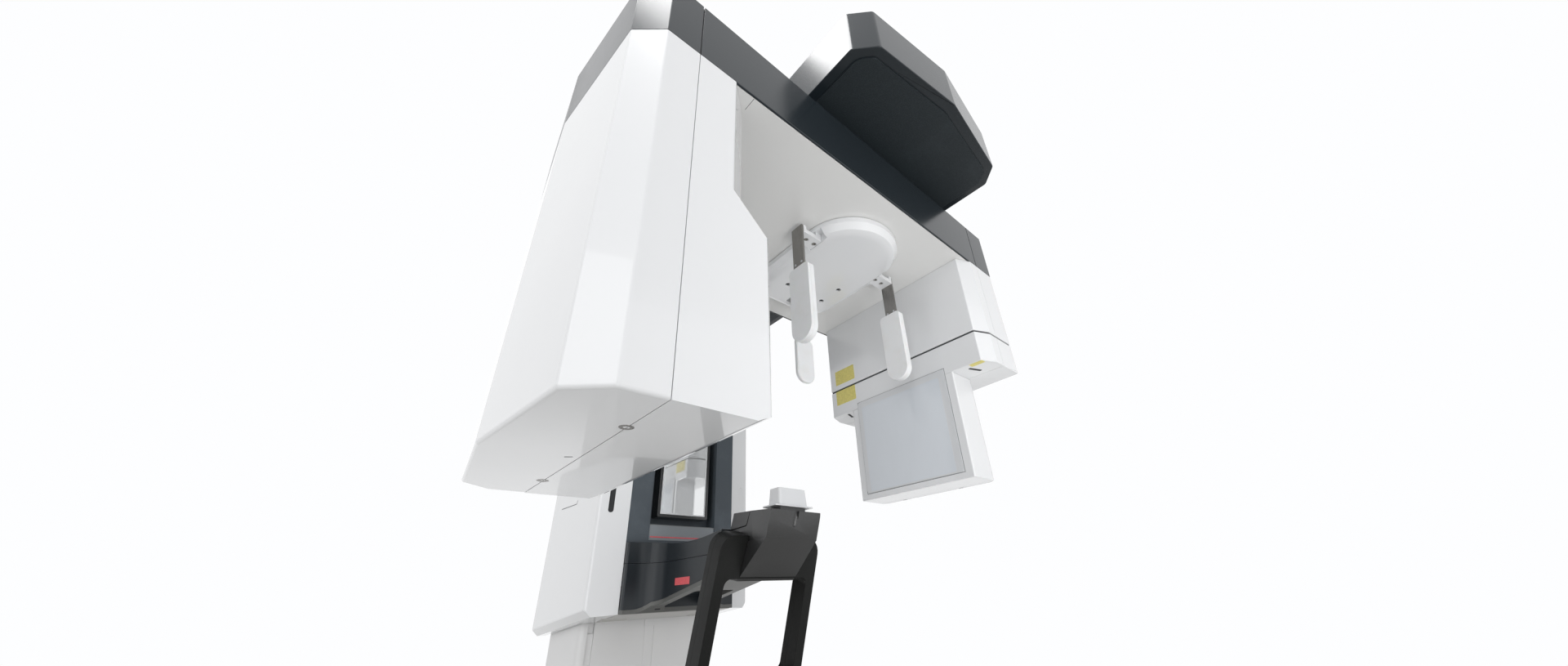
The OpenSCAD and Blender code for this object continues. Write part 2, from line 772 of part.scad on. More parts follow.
// Chin head: its side outline, from the patient's side to the column's
chin_side = [
  [chin_y0, chin_z1], [chin_y0 + 19, chin_z1 - 52], [chin_y0 + 105, chin_z1 - 124],
  [chin_y1, chin_z1 - 113], [chin_y1, chin_z1 - 22], [chin_y1 - 17, chin_z1 + chin_slope * (chin_len - 17)]
];
chin_plan = rounded(
  [
    [-chin_hw - 1, chin_y0 - 1], [chin_hw + 1, chin_y0 - 1], [chin_hw + 2, chin_y0 + 60],
    [chin_back_hw, chin_y1 + 1], [-chin_back_hw, chin_y1 + 1], [-chin_hw - 2, chin_y0 + 60]
  ],
  [5, 5, 12, 3, 3, 12], 4
);
// Low part of the chin head, which widens towards the crossbar of the grips
chin_foot = [
  [-chin_hw - 2, chin_z1 - 52], [-chin_hw - 8, chin_z1 - 130], [chin_hw + 8, chin_z1 - 130],
  [chin_hw + 2, chin_z1 - 52], [chin_hw, chin_z1 + 30], [-chin_hw, chin_z1 + 30]
];
module chin_body(grow) {
  intersection() {
    side_slab(inset(chin_side, -grow), -chin_hw - 20, chin_hw + 20);
    front_slab(inset(chin_foot, -grow), chin_y0 - 20, chin_y1 + 20);
    union() {
      slab(inset(chin_plan, -grow), chin_z1 - 60, chin_z1 + 40);
      slab(inset(rect(-chin_hw - 12, chin_y0, chin_hw + 12, chin_y1), -grow), chin_z1 - 140, chin_z1 - 52);
    }
  }
}
// Rear corner of the chin head that is covered separately
cover_side = [
  [chin_y0 + 100, chin_z1 + 40], [chin_y0 + 101, chin_z1 - 4], [chin_y0 + 133, chin_z1 - 16],
  [chin_y0 + 138, chin_z1 - 22], [chin_y1 + 30, chin_z1 - 22], [chin_y1 + 30, chin_z1 + 40]
];
module chin_head() {
  groove = rounded(rect(-6, chin_z1 - 34, 6, chin_z1 + 10), [5.9, 5.9, 0, 0], 6);
  color("darkslategray") difference() {
    union() {
      chin_body(0);
      box(-cup_hw + 6, cup_hw - 6, cup_y0 + 4, cup_y0 + cup_d - 4, chin_z1 - 4, cup_z - slide_gap);
    }
    side_slab(cover_side, -chin_hw - 20, chin_hw + 20);
    chin_socket();
    front_slab(groove, chin_y0 - 4, chin_y0 + 6);
  }
}
module chin_socket() {
  translate([0, post_y, cup_z - post_len - 2]) cylinder(d = post_d + 2 * slide_gap, h = post_len + 60);
}
module chin_head_cover() {
  color("darkslategray") intersection() {
    chin_body(0);
    translate([0, trim_gap, trim_gap]) side_slab(cover_side, -chin_hw - 20, chin_hw + 20);
  }
}
cup_y0 = chin_y0 + 9;
post_y = cup_y0 + cup_d / 2;
module chin_cup() {
  flange = 3.5;
  wing = 12;
  trough_r = 24;
  trough_depth = 5;
  trough_hw = cup_hw - 10;
  base = rect(-cup_hw, cup_y0, cup_hw, cup_y0 + cup_d);
  foot = rect(-cup_hw - wing, cup_y0 - flange, cup_hw + wing, cup_y0 + cup_d + flange);
  color("ghostwhite") difference() {
    union() {
      slab(rounded(foot, 4), cup_z, cup_z + 3);
      hull() {
        slab(rounded(base, 6), cup_z + 3 - eps, cup_z + 4);
        slab(rounded(inset(base, 2.5), 6), cup_z + cup_h - 1, cup_z + cup_h);
      }
    }
    translate([-trough_hw, post_y, cup_z + cup_h + trough_r - trough_depth])
      rotate([0, 90, 0]) cylinder(r = trough_r, h = 2 * trough_hw);
  }
}
module chin_post() {
  color("silver") translate([0, post_y, cup_z - post_len]) cylinder(d = post_d, h = post_len);
}

// The grip frame is drawn flat and leaned: its own Y runs up the slope, its own Z towards the patient
module grip_plane() {
  translate([0, pivot_y + 215, root_z1 - 41]) rotate([90 + grip_lean, 0, 0]) children();
}
module grip_ring(h0, h1) {
  top = 16;
  outer = rect(-grip_hw, top - grip_len, grip_hw, top);
  inner = rect(-grip_hw + grip_bar, top - grip_len + grip_bar, grip_hw - grip_bar, top - grip_top);
  difference() {
    grip_plane() translate([0, 0, h0]) linear_extrude(h1 - h0) difference() {
      polygon(rounded(outer, grip_r, 6));
      polygon(rounded(inner, [12, 12, 14, 14], 5));
    }
    chin_body(seat_gap);
    slab(inset(sup_plan, -seat_gap), car_z0 - 40, root_z1 + 20);
  }
}
module grip_front() {
  color("black") grip_ring(-grip_d * 0.6, 0);
}
module grip_rear() {
  color("black") grip_ring(-grip_d, -grip_d * 0.6);
}

ua_cover_plan = [
  [0, pivot_y - ua_nose + 22], [ua_hw - 44, pivot_y - ua_nose + nose_back + 18],
  [ua_hw - 20, pivot_y - ua_nose + nose_back + 44], [ua_hw - 20, car_y0 - 8],
  [-ua_hw + 20, car_y0 - 8], [-ua_hw + 20, pivot_y - ua_nose + nose_back + 44],
  [-ua_hw + 44, pivot_y - ua_nose + nose_back + 18]
];
ua_floor = 4;
ua_lap = 6;
// Room round the column, widened by grow to each side and to the front
module column_notch(grow) {
  hw = col_hw + 6 + grow;
  box(-hw, hw, frame_y0 - 4 - grow, car_y1 + 50, ua_z0 - 20, ua_z1 + 20);
}
module upper_arm_shell() {
  r = [14, 12, 12, 4, 4, 12, 12];
  color("darkslategray") difference() {
    slab(rounded(ua_plan, r), ua_z0, ua_z1);
    difference() {
      slab(rounded(inset(ua_plan, ua_wall), 8), ua_z0 + ua_floor, ua_z1 - ua_wall);
      column_notch(ua_wall);
    }
    slab(inset(ua_cover_plan, ua_lap - seat_gap), ua_z0 - 1, ua_z0 + ua_floor + 1);
    column_notch(0);
    both_sides() box(
      beam_hw - 8 - seat_gap, beam_hw + seat_gap, frame_y0 - 12 - ua_wall, frame_y0, beam_z0 - seat_gap,
      ua_z1 - ua_wall
    );
    box(
      -beam_hw, beam_hw, frame_y0 - 12 - ua_wall, frame_y0, beam_z0 - seat_gap, beam_z0 + beam_t + seat_gap
    );
  }
}
module upper_arm_cover() {
  color("black") difference() {
    union() {
      slab(rounded(ua_cover_plan, [10, 16, 30, 30, 30, 30, 16], 5), ua_z0 - ua_floor, ua_z0);
      slab(inset(ua_cover_plan, ua_lap), ua_z0 - eps, ua_z0 + ua_floor);
    }
    at_pivot() translate([0, 0, ua_z0 - 10]) cylinder(r = motor_r + seat_gap, h = 30);
  }
}
motor_r = shaft_r + 62;
beam_z0 = ua_z0 + 6;
beam_t = 12;
beam_hw = slot_x - 6;
module upper_arm_beam() {
  hw = beam_hw;
  y0 = pivot_y - 150;
  color("slategray") difference() {
    union() {
      box(-hw, hw, y0, frame_y0, beam_z0, beam_z0 + beam_t);
      both_sides() box(hw - 8, hw, y0, frame_y0, beam_z0, ua_z1 - ua_wall - seat_gap);
      box(-hw, hw, y0, y0 + 8, beam_z0, ua_z1 - ua_wall - seat_gap);
    }
    at_pivot() translate([0, 0, beam_z0 - 1]) cylinder(r = shaft_r + 1, h = beam_t + 2);
  }
}
collar_r = shaft_r + 14;
collar_z = arm_z0 + 62;
collar_h = 34;
module hollow_shaft() {
  color("silver") at_pivot() difference() {
    union() {
      translate([0, 0, plate_z1]) cylinder(r = shaft_r, h = beam_z0 + beam_t - plate_z1 + 10);
      translate([0, 0, plate_z1]) cylinder(r = shaft_r + 12, h = 6);
      translate([0, 0, collar_z]) cylinder(r = collar_r, h = collar_h);
      translate([0, 0, beam_z0 + beam_t]) cylinder(r = shaft_r + 24, h = 10);
    }
    translate([0, 0, plate_z1 - 1]) cylinder(r = shaft_r - shaft_wall, h = 400);
  }
}
module slew_motor() {
  color("dimgray") at_pivot() difference() {
    translate([0, 0, arm_z1 + 3]) cylinder(r = motor_r, h = beam_z0 - arm_z1 - 3);
    translate([0, 0, arm_z1]) cylinder(r = shaft_r + seat_gap, h = 100);
  }
}

// Head support, fixed under the hollow shaft
plate_cy = pivot_y - plate_back;
block_z0 = plate_z0 + plate_skin + slide_gap;
// Guide of a temple block inside the head plate, and its mouth, which is open at the bottom and
// wider towards the patient
module temple_pocket() {
  w = block_w / 2 + slide_gap;
  top = block_z0 + block_h + slide_gap;
  mouth_x = bar_x - bar_t - temple_in - slide_gap;
  mouth_more = 16;
  box(
    block_x0 - temple_in - slide_gap, plate_r + 20, plate_cy - w, plate_cy + w, plate_z0 + plate_skin, top
  );
  box(mouth_x, plate_r + 20, plate_cy - w - mouth_more, plate_cy + w, plate_z0 - 1, top);
}
module head_plate() {
  fy = pivot_y + plate_front;
  bolt_d = 12;
  bend_r = 62;
  steps = [[0, plate_z1 - 12, plate_z1], [9, plate_z0 + 8, plate_z0 + 9], [plate_in, plate_z0, plate_z0 + 1]];
  color("ghostwhite") difference() {
    hull() for (s = steps) translate([0, 0, s[1]]) linear_extrude(s[2] - s[1]) union() {
      translate([0, plate_cy]) circle(r = plate_r - s[0], $fn = 48);
      polygon(rounded(
        rect(-plate_r + s[0], plate_cy, plate_r - s[0], fy - s[0]), [0, 0, bend_r - s[0], bend_r - s[0]], 6
      ));
    }
    both_sides() temple_pocket();
    box(
      -brow_slot_hw, brow_slot_hw, brow_foot_y0 - brow_travel - 1, brow_foot_y1 + brow_travel + 1,
      plate_z0 - 1, plate_z1 - 6
    );
    for (x = [-56, 56], y = [14, 74])
      translate([x, pivot_y + y, plate_z0 - 1]) cylinder(d = bolt_d, h = 22);
    at_pivot() translate([0, 0, plate_z0 + 10]) cylinder(r = shaft_r - shaft_wall, h = plate_t);
  }
}
module temple_block() {
  y0 = plate_cy - block_w / 2;
  y1 = plate_cy + block_w / 2;
  end_x = bar_x - bar_t;
  end_t = 8;
  base_h = 10;
  socket_d = 10;
  difference() {
    union() {
      box(block_x0, end_x, y0, y1, block_z0, block_z0 + base_h);
      box(block_x0, plate_r - 6, y0, y1, block_z0, block_z0 + block_h);
      box(end_x - end_t, end_x, y0, y1, block_z0, block_z0 + block_h);
    }
    for (x = [21, 44]) translate([block_x0 + x, plate_cy, block_z0 - 1]) cylinder(d = socket_d, h = 5);
  }
}
module temple_bar(grow = 0) {
  hw = bar_w / 2 + grow;
  lap = 40 + grow;
  box(
    bar_x - bar_t - grow, bar_x + grow, plate_cy - hw, plate_cy + hw, pad_z1 - lap, block_z0 + block_h
  );
}
module temple_pad() {
  z0 = pad_z1 - pad_h;
  x1 = bar_x + 2;
  r = pad_w / 2 - 1;
  outline = rounded(rect(plate_cy - pad_w / 2, z0, plate_cy + pad_w / 2, pad_z1), [r, r, 9, 9], 10);
  difference() {
    side_slab(outline, x1 - pad_t, x1);
    temple_bar(seat_gap);
  }
}
module right_temple_block() { color("ghostwhite") temple_block(); }
module left_temple_block() { color("ghostwhite") mirror([1, 0, 0]) temple_block(); }
module right_temple_bar() { color("silver") temple_bar(); }
module left_temple_bar() { color("silver") mirror([1, 0, 0]) temple_bar(); }
module right_temple_pad() { color("white") temple_pad(); }
module left_temple_pad() { color("white") mirror([1, 0, 0]) temple_pad(); }
brow_front = pivot_y + brow_y;
brow_back = brow_front + brow_t;
brow_foot_y0 = brow_back - 3;
brow_foot_y1 = brow_back + 13;
brow_slot_hw = 16;
brow_z0 = arm_z0 - brow_drop;
module forehead_bar() {
  hw = brow_slot_hw - slide_gap;
  top = plate_z1 - 6 - slide_gap;
  color("silver") union() {
    box(-12, 12, brow_back, brow_back + 4, brow_z0 + 30, top);
    box(-hw, hw, brow_foot_y0, brow_foot_y1, plate_z0 + 3, top);
  }
}
module forehead_pad() {
  r = brow_hw - 2;
  outline = rounded(rect(-brow_hw, brow_z0, brow_hw, brow_z0 + brow_h), [r, r, 12, 12], 8);
  color("white") front_slab(outline, brow_front, brow_back);
}

// Turning arm
module arm_ring() {
  difference() {
    slab(arm_plan, arm_z0, arm_z1);
    slab(inset(arm_plan, band_t), arm_z0 - 1, arm_z1 + 1);
  }
}
module arm_between(x0, x1) {
  box(x0, x1, -arm_hw - 1, arm_hw + 1, arm_z0 - 1, arm_z1 + 1);
}
module arm_band() {
  color("dimgray") at_pivot() intersection() {
    arm_ring();
    arm_between(-seam_src + trim_gap / 2, seam_det - trim_gap / 2);
  }
}
module source_end_band() {
  color("dimgray") at_pivot() intersection() {
    arm_ring();
    arm_between(-tip_src - 1, -seam_src - trim_gap / 2);
  }
}
module detector_end_band() {
  color("dimgray") at_pivot() intersection() {
    arm_ring();
    arm_between(seam_det + trim_gap / 2, tip_det + 1);
  }
}
module arm_top_cover() {
  color("dimgray") at_pivot() difference() {
    slab(inset(arm_plan, band_t + seat_gap), arm_z1 - 4, arm_z1);
    translate([0, 0, arm_z1 - 5]) cylinder(r = motor_r + 8, h = 6);
  }
}
module arm_underside() {
  color("gainsboro") at_pivot() difference() {
    slab(inset(arm_plan, band_t + seat_gap), arm_z0, arm_z0 + 4);
    translate([0, 0, arm_z0 - 1]) cylinder(r = shaft_r + 16, h = 6);
  }
}
cast_z0 = arm_z0 + 4;
module arm_casting() {
  hw = arm_hw - 26;
  x0 = -tip_src + 70;
  x1 = tip_det - 40;
  ring_r = collar_r + 26;
  color("slategray") at_pivot() difference() {
    union() {
      slab(rounded(rect(x0, -hw, x1, hw), 30, 4), cast_z0, cast_z0 + 12);
      for (y = [-1, 1]) box(x0 + 20, x1 - 20, y * 130 - 5, y * 130 + 5, cast_z0 + 11, arm_z1 - 4 - seat_gap);
      translate([0, 0, cast_z0]) cylinder(r = ring_r + 12, h = collar_z + collar_h - cast_z0);
    }
    translate([0, 0, cast_z0 - 1]) cylinder(r = shaft_r + 16, h = 120);
    translate([0, 0, collar_z]) cylinder(r = ring_r, h = 60);
  }
}
module slew_ring() {
  color("silver") at_pivot() difference() {
    translate([0, 0, collar_z]) cylinder(r = collar_r + 26, h = collar_h);
    translate([0, 0, collar_z - 1]) cylinder(r = collar_r + bearing_gap, h = collar_h + 2);
  }
}
// The tube unit stands close behind the inner face, on a plate that hangs from the arm
tube_t = 54;
tube_x0 = -src_face - src_wall - 12 - tube_t;
tube_z0 = src_z0 + 0.295 * src_len;
hang_t = 8;
module source_frame() {
  hw = 150;
  shelf_hw = 110;
  z1 = arm_z0 - seat_gap;
  color("slategray") at_pivot() union() {
    box(tube_x0 - hang_t, tube_x0, -hw, hw, src_z0 + 0.13 * src_len, z1);
    box(tube_x0 - 70, tube_x0, -hw, hw, z1 - hang_t, z1);
    box(tube_x0 - hang_t, tube_x0 + 40, -shelf_hw, shelf_hw, tube_z0 - hang_t, tube_z0);
  }
}
module tube_unit() {
  hw = 90;
  h = 0.355 * src_len;
  color("silver") at_pivot() union() {
    box(tube_x0, tube_x0 + tube_t, -hw, hw, tube_z0, tube_z0 + h);
    translate([tube_x0 + tube_t / 2, 0, tube_z0 + h - 1]) cylinder(r = 22, h = 60);
  }
}
// Side outline of the source housing's inner end, and of its two corners seen along the diagonal
src_lip = 10;
src_za = src_z0 + src_shoulder;
src_zb = src_za - src_shoulder_h;
src_profile = [
  [-tip_src - 50, src_z0], [-src_face, src_z0], [-src_face + src_step, src_z0 + src_lip],
  [-src_face + src_step, src_zb], [-src_face, src_za], [-tip_src - 50, src_za]
];
src_corner_profile = [
  [-900, src_z0], [(-src_face + src_step + arm_hw) / sqrt(2), src_z0],
  [(-src_face + src_step + arm_hw) / sqrt(2), src_zb],
  [(-src_face + arm_hw - end_chamfer) / sqrt(2), src_za], [-900, src_za]
];
// Space of the source housing, drawn in by d
module source_body(d) {
  slab(rounded(inset(src_upper_plan, d), 5, 3), src_z0 + d, arm_z0 - seat_gap + (d > 0 ? 1 : 0));
  intersection() {
    slab(rounded(inset(src_lower_plan, d), 3, 3), src_z0 + d, src_za);
    front_slab(inset(src_profile, d), -arm_hw - 1, arm_hw + 1);
    rotate([0, 0, -45]) front_slab(inset(src_corner_profile, d), -900, 900);
    rotate([0, 0, 45]) front_slab(inset(src_corner_profile, d), -900, 900);
  }
}
module source_end_cap() {
  color("ghostwhite") at_pivot() intersection() {
    difference() {
      slab(rounded(src_upper_plan, 5, 3), src_z0, arm_z0 - seat_gap);
      slab(inset(src_upper_plan, src_wall), src_z0 + src_wall, arm_z0 + 1);
    }
    box(-tip_src - 1, -seam_src - trim_gap / 2, -arm_hw - 1, arm_hw + 1, src_z0 - 1, arm_z0);
  }
}
module source_inner_shell() {
  color("ghostwhite") at_pivot() intersection() {
    difference() {
      source_body(0);
      source_body(src_wall);
    }
    box(-seam_src + trim_gap / 2, 0, -arm_hw - 1, arm_hw + 1, src_z0 - 1, arm_z0);
  }
}

// Detector: an upper housing fixed to the arm and a lower one that shifts sideways
yoke_x0 = det_face + 30;
yoke_x1 = tip_det - 45;
yoke_hw = 130;
// Outline around the sensor's yoke, widened by gap all round and by travel to each side
module yoke_hole(gap, travel, z0, z1) {
  box(yoke_x0 - gap, yoke_x1 + gap, -yoke_hw - gap - travel, yoke_hw + gap + travel, z0, z1);
}
module det_upper(x0, x1) {
  at_pivot() intersection() {
    difference() {
      slab(rounded(det_plan, 3, 3), det_z1, arm_z0 - seat_gap);
      slab(inset(det_plan, det_wall), det_z1 + det_wall, arm_z0 + 1);
      yoke_hole(slide_gap, sen_travel, det_z1 - 1, det_z1 + det_wall + 1);
    }
    box(x0, x1, -arm_hw - 1, arm_hw + 1, det_z1 - 1, arm_z0);
  }
}
module det_lower(x0, x1) {
  at_pivot() intersection() {
    difference() {
      slab(rounded(det_plan, 3, 3), sen_z1, sen_z2);
      slab(inset(det_plan, det_wall), sen_z1 + det_wall, sen_z2 - det_wall);
      yoke_hole(seat_gap, 0, sen_z2 - det_wall - 1, sen_z2 + 1);
    }
    box(x0, x1, -arm_hw - 1, arm_hw + 1, sen_z1 - 1, sen_z2 + 1);
  }
}
module detector_housing() {
  color("ghostwhite") det_upper(det_face - 1, seam_det - trim_gap / 2);
}
module detector_end_cap() {
  color("ghostwhite") det_upper(seam_det + trim_gap / 2, tip_det + 1);
}
rail_hw = 180;
module sensor_rail() {
  z = det_z1 + det_wall + 2;
  color("silver") at_pivot() union() {
    box(det_face + 20, tip_det - 30, -rail_hw, rail_hw, z + 14, z + 22);
    for (x = [det_face + 42, tip_det - 60]) box(x - 6, x + 6, -rail_hw, rail_hw, z + 2, z + 15);
    for (y = [-1, 1]) box(det_face + 60, tip_det - 70, y * 120 - 4, y * 120 + 4, z + 21, arm_z0 - seat_gap);
  }
}
module sensor_carriage() {
  z = det_z1 + det_wall + 2;
  w = 6 + slide_gap;
  color("black") at_pivot() difference() {
    union() {
      yoke_hole(0, 0, sen_z2 - det_wall, z);
      for (x = [det_face + 42, tip_det - 60]) box(x - 12, x + 12, -120, 120, z - 1, z + 12);
    }
    for (x = [det_face + 42, tip_det - 60]) box(x - w, x + w, -rail_hw, rail_hw, z + 2 - slide_gap, z + 20);
  }
}
module sensor_housing() {
  color("ghostwhite") det_lower(det_face - 1, seam_det - trim_gap / 2);
}
module sensor_end_cap() {
  color("ghostwhite") det_lower(seam_det + trim_gap / 2, tip_det + 1);
}
module sensor_case() {
  x1 = det_face + sen_d;
  outline = [
    [det_face, -sen_hw], [x1 - 12, -sen_hw], [x1, -sen_hw + 12], [x1, sen_hw - 12], [x1 - 12, sen_hw],
    [det_face, sen_hw]
  ];
  notch = 14;
  color("ghostwhite") at_pivot() difference() {
    slab(rounded(outline, 3, 3), sen_z0, sen_z1);
    slab(inset(outline, det_wall), sen_z0 + det_wall, sen_z1 + 1);
    for (y = [-1, 1]) box(x1 - 3, x1 + 1, y * 60 - notch / 2, y * 60 + notch / 2, sen_z0 - 1, sen_z0 + 4);
  }
}
module sensor_window() {
  z0 = sen_z0 + 14;
  outline = rounded(rect(-win_hw, z0, win_hw, z0 + win_h), 7, 5);
  color("lightsteelblue") at_pivot()
    side_slab(outline, det_face - 2, det_face);
}

base_plate();
column();
column_cap();
guide_rails();
lift_screw();
wall_bracket();
carriage_frame();
guide_blocks();
lift_drive();
left_side_shell();
right_side_shell();
front_panel();
mirror_frame();
mirror_glass();
name_strip();
bottom_tray();
support_arm();
support_arm_belly();
support_arm_tray();
emergency_collar();
emergency_button();
chin_head();
chin_head_cover();
chin_cup();
chin_post();
grip_front();
grip_rear();
upper_arm_shell();
upper_arm_cover();
upper_arm_beam();
hollow_shaft();
slew_motor();
head_plate();
left_temple_block();
left_temple_bar();
left_temple_pad();
right_temple_block();
right_temple_bar();
right_temple_pad();
forehead_bar();
forehead_pad();
arm_casting();
slew_ring();
arm_band();
source_end_band();
detector_end_band();
arm_top_cover();
arm_underside();
source_frame();
tube_unit();
source_end_cap();
source_inner_shell();
detector_housing();
detector_end_cap();
sensor_rail();
sensor_carriage();
sensor_housing();
sensor_end_cap();
sensor_case();
sensor_window();
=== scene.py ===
"""Looks of a dental panoramic and cone-beam scanner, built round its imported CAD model.

The frame is metres, Z up: the column stands at the origin, the patient stands on the -Y side, the source
end of the turning arm points to -X and the detector end to +X.
"""

from __future__ import annotations

import json
import logging
import math
from contextlib import contextmanager
from dataclasses import dataclass
from enum import Enum
from typing import Callable, Iterable, Iterator, Sequence, Union

import bmesh
import bpy
from mathutils import Matrix, Vector

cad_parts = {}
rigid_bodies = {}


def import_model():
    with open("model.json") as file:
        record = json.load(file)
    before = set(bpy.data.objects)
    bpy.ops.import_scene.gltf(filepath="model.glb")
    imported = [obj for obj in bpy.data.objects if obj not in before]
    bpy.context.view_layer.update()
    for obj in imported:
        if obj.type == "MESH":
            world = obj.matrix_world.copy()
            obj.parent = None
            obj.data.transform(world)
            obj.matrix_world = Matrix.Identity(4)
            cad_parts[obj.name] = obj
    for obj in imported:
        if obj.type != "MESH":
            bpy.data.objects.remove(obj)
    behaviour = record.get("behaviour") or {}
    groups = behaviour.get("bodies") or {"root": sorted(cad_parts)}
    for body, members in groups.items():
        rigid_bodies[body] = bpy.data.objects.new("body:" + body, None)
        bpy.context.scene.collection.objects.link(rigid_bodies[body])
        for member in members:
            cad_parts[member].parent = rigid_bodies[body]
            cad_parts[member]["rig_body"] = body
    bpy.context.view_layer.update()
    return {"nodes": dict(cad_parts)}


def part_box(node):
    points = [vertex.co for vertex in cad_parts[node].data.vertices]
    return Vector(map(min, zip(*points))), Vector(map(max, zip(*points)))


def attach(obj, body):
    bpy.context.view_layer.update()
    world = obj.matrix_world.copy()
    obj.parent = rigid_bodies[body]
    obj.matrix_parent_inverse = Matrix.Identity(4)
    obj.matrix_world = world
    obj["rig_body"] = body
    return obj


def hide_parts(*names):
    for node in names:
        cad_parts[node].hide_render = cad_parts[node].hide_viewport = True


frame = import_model()
log = logging.getLogger("scanner")

MM = 0.001
Operand = Union["Value", float]
Pair = tuple[float, float]
Triple = tuple[float, float, float]
Piece = bpy.types.Object
FacePick = Callable[[bmesh.types.BMFace], bool]
Shaping = Callable[[Piece], None]

UP: Triple = (0.0, 0.0, 1.0)
DOWN: Triple = (0.0, 0.0, -1.0)
RIGHT: Triple = (1.0, 0.0, 0.0)
LEFT: Triple = (-1.0, 0.0, 0.0)
AHEAD: Triple = (0.0, -1.0, 0.0)
BEHIND: Triple = (0.0, 1.0, 0.0)
PALE_SKY: Triple = (0.985, 0.99, 1.0)


# ---------------------------------------------------------------- materials


class Value:
    """A shader socket that takes part in sums, products and differences."""

    def __init__(self, graph: Graph, socket: bpy.types.NodeSocket) -> None:
        """Keeps the socket.

        Args:
            graph: The graph that holds the socket's node.
            socket: An output socket.
        """
        self.graph = graph
        self.socket = socket

    def __add__(self, other: Operand) -> Value:
        """Sum."""
        return self.graph.math("ADD", self, other)

    __radd__ = __add__

    def __sub__(self, other: Operand) -> Value:
        """Difference."""
        return self.graph.math("SUBTRACT", self, other)

    def __rsub__(self, other: float) -> Value:
        """Difference, the number first."""
        return self.graph.math("SUBTRACT", other, self)

    def __mul__(self, other: Operand) -> Value:
        """Product."""
        return self.graph.math("MULTIPLY", self, other)

    __rmul__ = __mul__

    def above(self, edge: float, width: float) -> Value:
        """A soft step that is 0 below edge and 1 above edge plus width."""
        ramp = {"interpolation_type": "SMOOTHSTEP"}
        return self.graph.add("ShaderNodeMapRange", ramp, {"Value": self, "From Min": edge, "From Max": edge + width})


class Graph:
    """The node graph of a material or of the world."""

    def __init__(self, owner: Union[bpy.types.Material, bpy.types.World]) -> None:
        """Opens the owner's nodes.

        Args:
            owner: The material or the world.
        """
        owner.use_nodes = True
        self.owner = owner
        self.nodes = owner.node_tree.nodes
        self.links = owner.node_tree.links

    def add(
        self,
        kind: str,
        settings: dict[str, object] | None = None,
        inputs: dict[Union[str, int], object] | None = None,
        result: Union[str, int] = 0,
    ) -> Value:
        """Adds any node.

        Args:
            kind: The node's type.
            settings: Its own settings, such as an operation.
            inputs: What each of its sockets gets, a number, a colour or a Value.
            result: The output that is handed back.

        Returns:
            That output.
        """
        node = self.nodes.new(kind)
        for key, value in (settings or {}).items():
            setattr(node, key, value)
        for key, value in (inputs or {}).items():
            self.feed(node.inputs[key], value)
        return Value(self, node.outputs[result])

    def feed(self, socket: bpy.types.NodeSocket, value: object) -> None:
        """Links a Value to a socket, or sets a number or colour on it."""
        if isinstance(value, Value):
            self.links.new(value.socket, socket)
        elif isinstance(value, tuple) and len(value) == 3 and socket.type == "RGBA":
            socket.default_value = (*value, 1.0)
        else:
            socket.default_value = value

    def math(self, operation: str, first: Operand, second: Operand) -> Value:
        """One Math node on two values."""
        return self.add("ShaderNodeMath", {"operation": operation}, {0: first, 1: second})

    def mix(self, factor: Value, first: object, second: object) -> Value:
        """Mix of two colours."""
        return self.add("ShaderNodeMix", {"data_type": "RGBA"}, {"Factor": factor, 6: first, 7: second}, 2)

    def rays(self, *kinds: str) -> Value:
        """1 for rays of any of these kinds, else 0."""
        found = [self.add("ShaderNodeLightPath", result=f"Is {kind} Ray") for kind in kinds]
        either = found[0]
        for ray in found[1:]:
            either = self.math("MAXIMUM", either, ray)
        return either

    def place(self, stretch: Triple = (1.0, 1.0, 1.0), turn: Triple = (0.0, 0.0, 0.0)) -> Value:
        """Object coordinates, scaled along and turned (in radians) about each axis."""
        coordinates = self.add("ShaderNodeTexCoord", result="Object")
        return self.add("ShaderNodeMapping", inputs={"Vector": coordinates, "Scale": stretch, "Rotation": turn})

    def noise(self, vector: Value, scale: float, detail: float = 2.0, roughness: float = 0.5) -> Value:
        """Noise between 0 and 1.

        Args:
            vector: Where it is read.
            scale: Its features for each metre.
            detail: Its octaves.
            roughness: How much the finer octaves count.

        Returns:
            The noise.
        """
        inputs = {"Vector": vector, "Scale": scale, "Detail": detail, "Roughness": roughness}
        return self.add("ShaderNodeTexNoise", inputs=inputs)

    def cells(self, scale: float) -> Value:
        """Distance to the nearest of many scattered points."""
        return self.add("ShaderNodeTexVoronoi", inputs={"Vector": self.place(), "Scale": scale}, result="Distance")

    def bump(self, height: Value, depth: float, strength: float = 1.0) -> Value:
        """Bump of the given depth in metres."""
        return self.add("ShaderNodeBump", inputs={"Height": height, "Distance": depth, "Strength": strength})

    def surface(self, **sockets: object) -> bpy.types.Material:
        """Sets the Principled shader's sockets, underscores for spaces, and hands back the material."""
        shader = self.nodes["Principled BSDF"]
        for key, value in sockets.items():
            self.feed(shader.inputs[key.replace("_", " ")], value)
        return self.owner


def shaded(colour: Triple, factor: float, lift: float = 0.0) -> Triple:
    """A colour made darker or lighter, at most white."""
    return tuple(min(1.0, c * factor + lift) for c in colour)


@dataclass(frozen=True)
class Recipe:
    """What every finish has: a name, a main colour, and a way to make its material."""

    name: str
    colour: Triple

    def paint(self, g: Graph) -> bpy.types.Material:
        """Makes the nodes in an empty graph."""
        raise NotImplementedError

    def build(self) -> bpy.types.Material:
        """Makes the material."""
        return self.paint(Graph(bpy.data.materials.new(self.name)))


